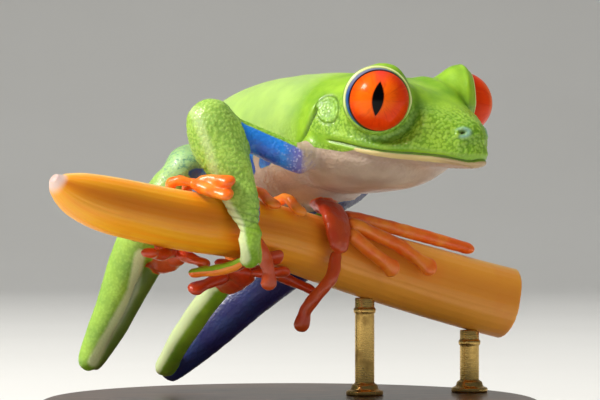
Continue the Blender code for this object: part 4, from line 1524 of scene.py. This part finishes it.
def tint(name, description, colour):
    limits = {"size": 4, "min": 0.0, "max": 1.0, "subtype": "COLOR"}
    return FloatVectorProperty(name=name, description=description, default=colour, **limits)


class FrogSkinLook(bpy.types.PropertyGroup):
    coarse_size: amount(
        "Form size", "Face size, in millimetres, where the body's form is smoothed", 0.25, 0.2, 0.5
    )
    grain_size: amount(
        "Grain size", "Face size of the finished skin, in millimetres", 0.105, 0.08, 0.3
    )
    green_deep: tint("Deep green", "The darker clouds of the green", rgb(108, 160, 14))
    green_light: tint("Light green", "The paler clouds of the green", rgb(162, 206, 44))
    # Painted highlight on the grain tops, and also the colour of the skin's own random flecks.
    fleck_and_grain_highlight: tint("Flecks", "The tops of the grains", rgb(206, 234, 130))
    blue_deep: tint("Deep blue", "Sides and upper arms", rgb(12, 70, 170))
    blue_light: tint("Light blue", "The paler clouds of the blue", rgb(30, 130, 215))
    # Painted shade: the blue of the far limbs, as seen in shadow.
    dusk: tint("Dusky blue", "The hidden sides of the far limbs", rgb(34, 26, 92))
    # Painted shade: the cream of the belly and throat, darkened as it lies in shadow under the
    # body.
    shaded_cream: tint("Cream", "Belly and throat", rgb(198, 176, 154))
    shaded_cream_clouds: tint("Cream shade", "The duller clouds of the belly", rgb(150, 118, 100))
    orange_deep: tint("Deep orange", "Hands and feet", rgb(244, 104, 14))
    orange_light: tint("Light orange", "The paler clouds of the orange", rgb(255, 152, 44))
    # Painted shade: the orange of the hands and feet, deepened to red where they lie under the
    # body.
    red: tint("Deep red", "The hands and feet under the body", rgb(180, 34, 8))
    lid_rim: tint("Lid rim", "The margin of the eyelids", rgb(226, 232, 160))


class EyeLook(bpy.types.PropertyGroup):
    pupil_half_width: amount("Pupil half width", "In millimetres", 0.56, 0.1, 1.5)
    pupil_half_height: amount("Pupil half height", "In millimetres", 1.68, 0.3, 2.4)
    pupil_lean: amount(
        "Pupil lean",
        "How far the slit leans forward at its top",
        math.radians(8.0),
        -math.radians(45.0),
        math.radians(45.0),
        subtype="ANGLE",
    )
    iris_radius: amount("Iris radius", "In millimetres", 2.84, 1.5, 2.9)
    iris_shift: amount(
        "Iris shift", "How far forward of the lids' middle, in millimetres", 0.20, 0.0, 0.6
    )
    iris_orange: tint("Iris orange", "The iris toward the tail", rgb(255, 104, 8))
    iris_red: tint("Iris red", "The iris toward the snout", rgb(238, 66, 8))
    iris_deep: tint("Iris deep red", "Its rim and streaks", rgb(190, 26, 8))


class BractLook(bpy.types.PropertyGroup):
    groove_depth: amount(
        "Groove depth", "Depth of the long groove, as a share of the radius", 0.09, 0.0, 0.3
    )
    orange: tint("Orange", "The lower side", rgb(255, 160, 10))
    yellow: tint("Yellow", "The lit streaks", rgb(255, 188, 34))
    # Painted shade in the groove, and the colour of the fine ribs.
    amber_and_groove_shade: tint("Amber", "The groove", rgb(214, 122, 2))
    # Painted highlight: the lit ridge along the top.
    pale: tint("Ridge", "The pale ridge along the top", rgb(246, 214, 140))
    tip: tint("Tip", "The dry point", rgb(214, 196, 196))
    # Painted light on the far part toward the cut.
    far_end: tint("Far end", "The paler part toward the cut", rgb(255, 172, 58))


class StandLook(bpy.types.PropertyGroup):
    wood_dark: tint("Dark wood", "The darker grain", rgb(52, 30, 18))
    wood_light: tint("Light wood", "The paler grain", rgb(104, 66, 38))
    brass: tint("Brass", "Clean brass", rgb(214, 178, 104))
    brass_dull: tint("Dull brass", "Tarnished brass", rgb(150, 112, 58))


class StudioLook(bpy.types.PropertyGroup):
    floor: tint("Floor", "The pale floor", rgb(234, 233, 229))
    floor_shade: tint("Floor shade", "Its faint clouds", rgb(206, 204, 198))
    air: tint("Air", "The even light from all round", rgb(214, 220, 226))
    air_strength: amount("Air strength", "Even light", 0.15, 0.0, 3.0)
    key_power: amount("Key power", "Light from the upper left", 3.0, 0.0, 50.0, unit="POWER")
    top_power: amount("Top power", "Light from above and behind", 1.5, 0.0, 50.0, unit="POWER")
    fill_power: amount("Fill power", "Soft light from the right", 0.45, 0.0, 50.0, unit="POWER")


class TREE_FROG_OT_studio(bpy.types.Operator):
    """Set up the floor, the lights and the camera"""

    bl_idname = "tree_frog.studio"
    bl_label = "Studio"

    def execute(self, context):
        build_studio(context.scene.tree_frog_studio)
        return {"FINISHED"}


class TREE_FROG_OT_skin(bpy.types.Operator):
    """Grow, work and paint the frog's one skin"""

    bl_idname = "tree_frog.skin"
    bl_label = "Skin"

    def execute(self, context):
        build_skin(context.scene.tree_frog_skin)
        return {"FINISHED"}


class TREE_FROG_OT_eyes(bpy.types.Operator):
    """Make the two eyeballs"""

    bl_idname = "tree_frog.eyes"
    bl_label = "Eyes"

    def execute(self, context):
        for side in SIDES:
            build_eye(side, context.scene.tree_frog_eyes)
        return {"FINISHED"}


class TREE_FROG_OT_bract(bpy.types.Operator):
    """Make the cut length of bract"""

    bl_idname = "tree_frog.bract"
    bl_label = "Bract"

    def execute(self, context):
        build_bract(context.scene.tree_frog_bract)
        return {"FINISHED"}


class TREE_FROG_OT_stand(bpy.types.Operator):
    """Make the turned base and its brass rods"""

    bl_idname = "tree_frog.stand"
    bl_label = "Stand"

    def execute(self, context):
        build_base(context.scene.tree_frog_stand)
        for number in (1, 2):
            build_rod(number, context.scene.tree_frog_stand)
        return {"FINISHED"}


LOOKS = {
    "tree_frog_studio": StudioLook,
    "tree_frog_skin": FrogSkinLook,
    "tree_frog_eyes": EyeLook,
    "tree_frog_bract": BractLook,
    "tree_frog_stand": StandLook,
}
TOOLS = (
    TREE_FROG_OT_studio,
    TREE_FROG_OT_skin,
    TREE_FROG_OT_eyes,
    TREE_FROG_OT_bract,
    TREE_FROG_OT_stand,
)


class TREE_FROG_PT_panel(bpy.types.Panel):
    """The tools that build the model, and their settings"""

    bl_label = "Tree frog"
    bl_idname = "TREE_FROG_PT_panel"
    bl_space_type = "VIEW_3D"
    bl_region_type = "UI"
    bl_category = "Tree frog"

    def draw(self, context):
        for tool, name in zip(TOOLS, LOOKS):
            box = self.layout.box()
            box.operator(tool.bl_idname)
            look = getattr(context.scene, name)
            for setting in look.__annotations__:
                box.prop(look, setting)


CLASSES = (*LOOKS.values(), *TOOLS, TREE_FROG_PT_panel)


def register():
    for made in CLASSES:
        bpy.utils.register_class(made)
    for name, look in LOOKS.items():
        setattr(bpy.types.Scene, name, PointerProperty(type=look))


def unregister():
    for name in LOOKS:
        delattr(bpy.types.Scene, name)
    for made in reversed(CLASSES):
        bpy.utils.unregister_class(made)


def main():
    register()
    bpy.ops.tree_frog.studio()
    bpy.ops.tree_frog.skin()
    bpy.ops.tree_frog.eyes()
    bpy.ops.tree_frog.bract()
    bpy.ops.tree_frog.stand()


if __name__ == "__main__":
    main()
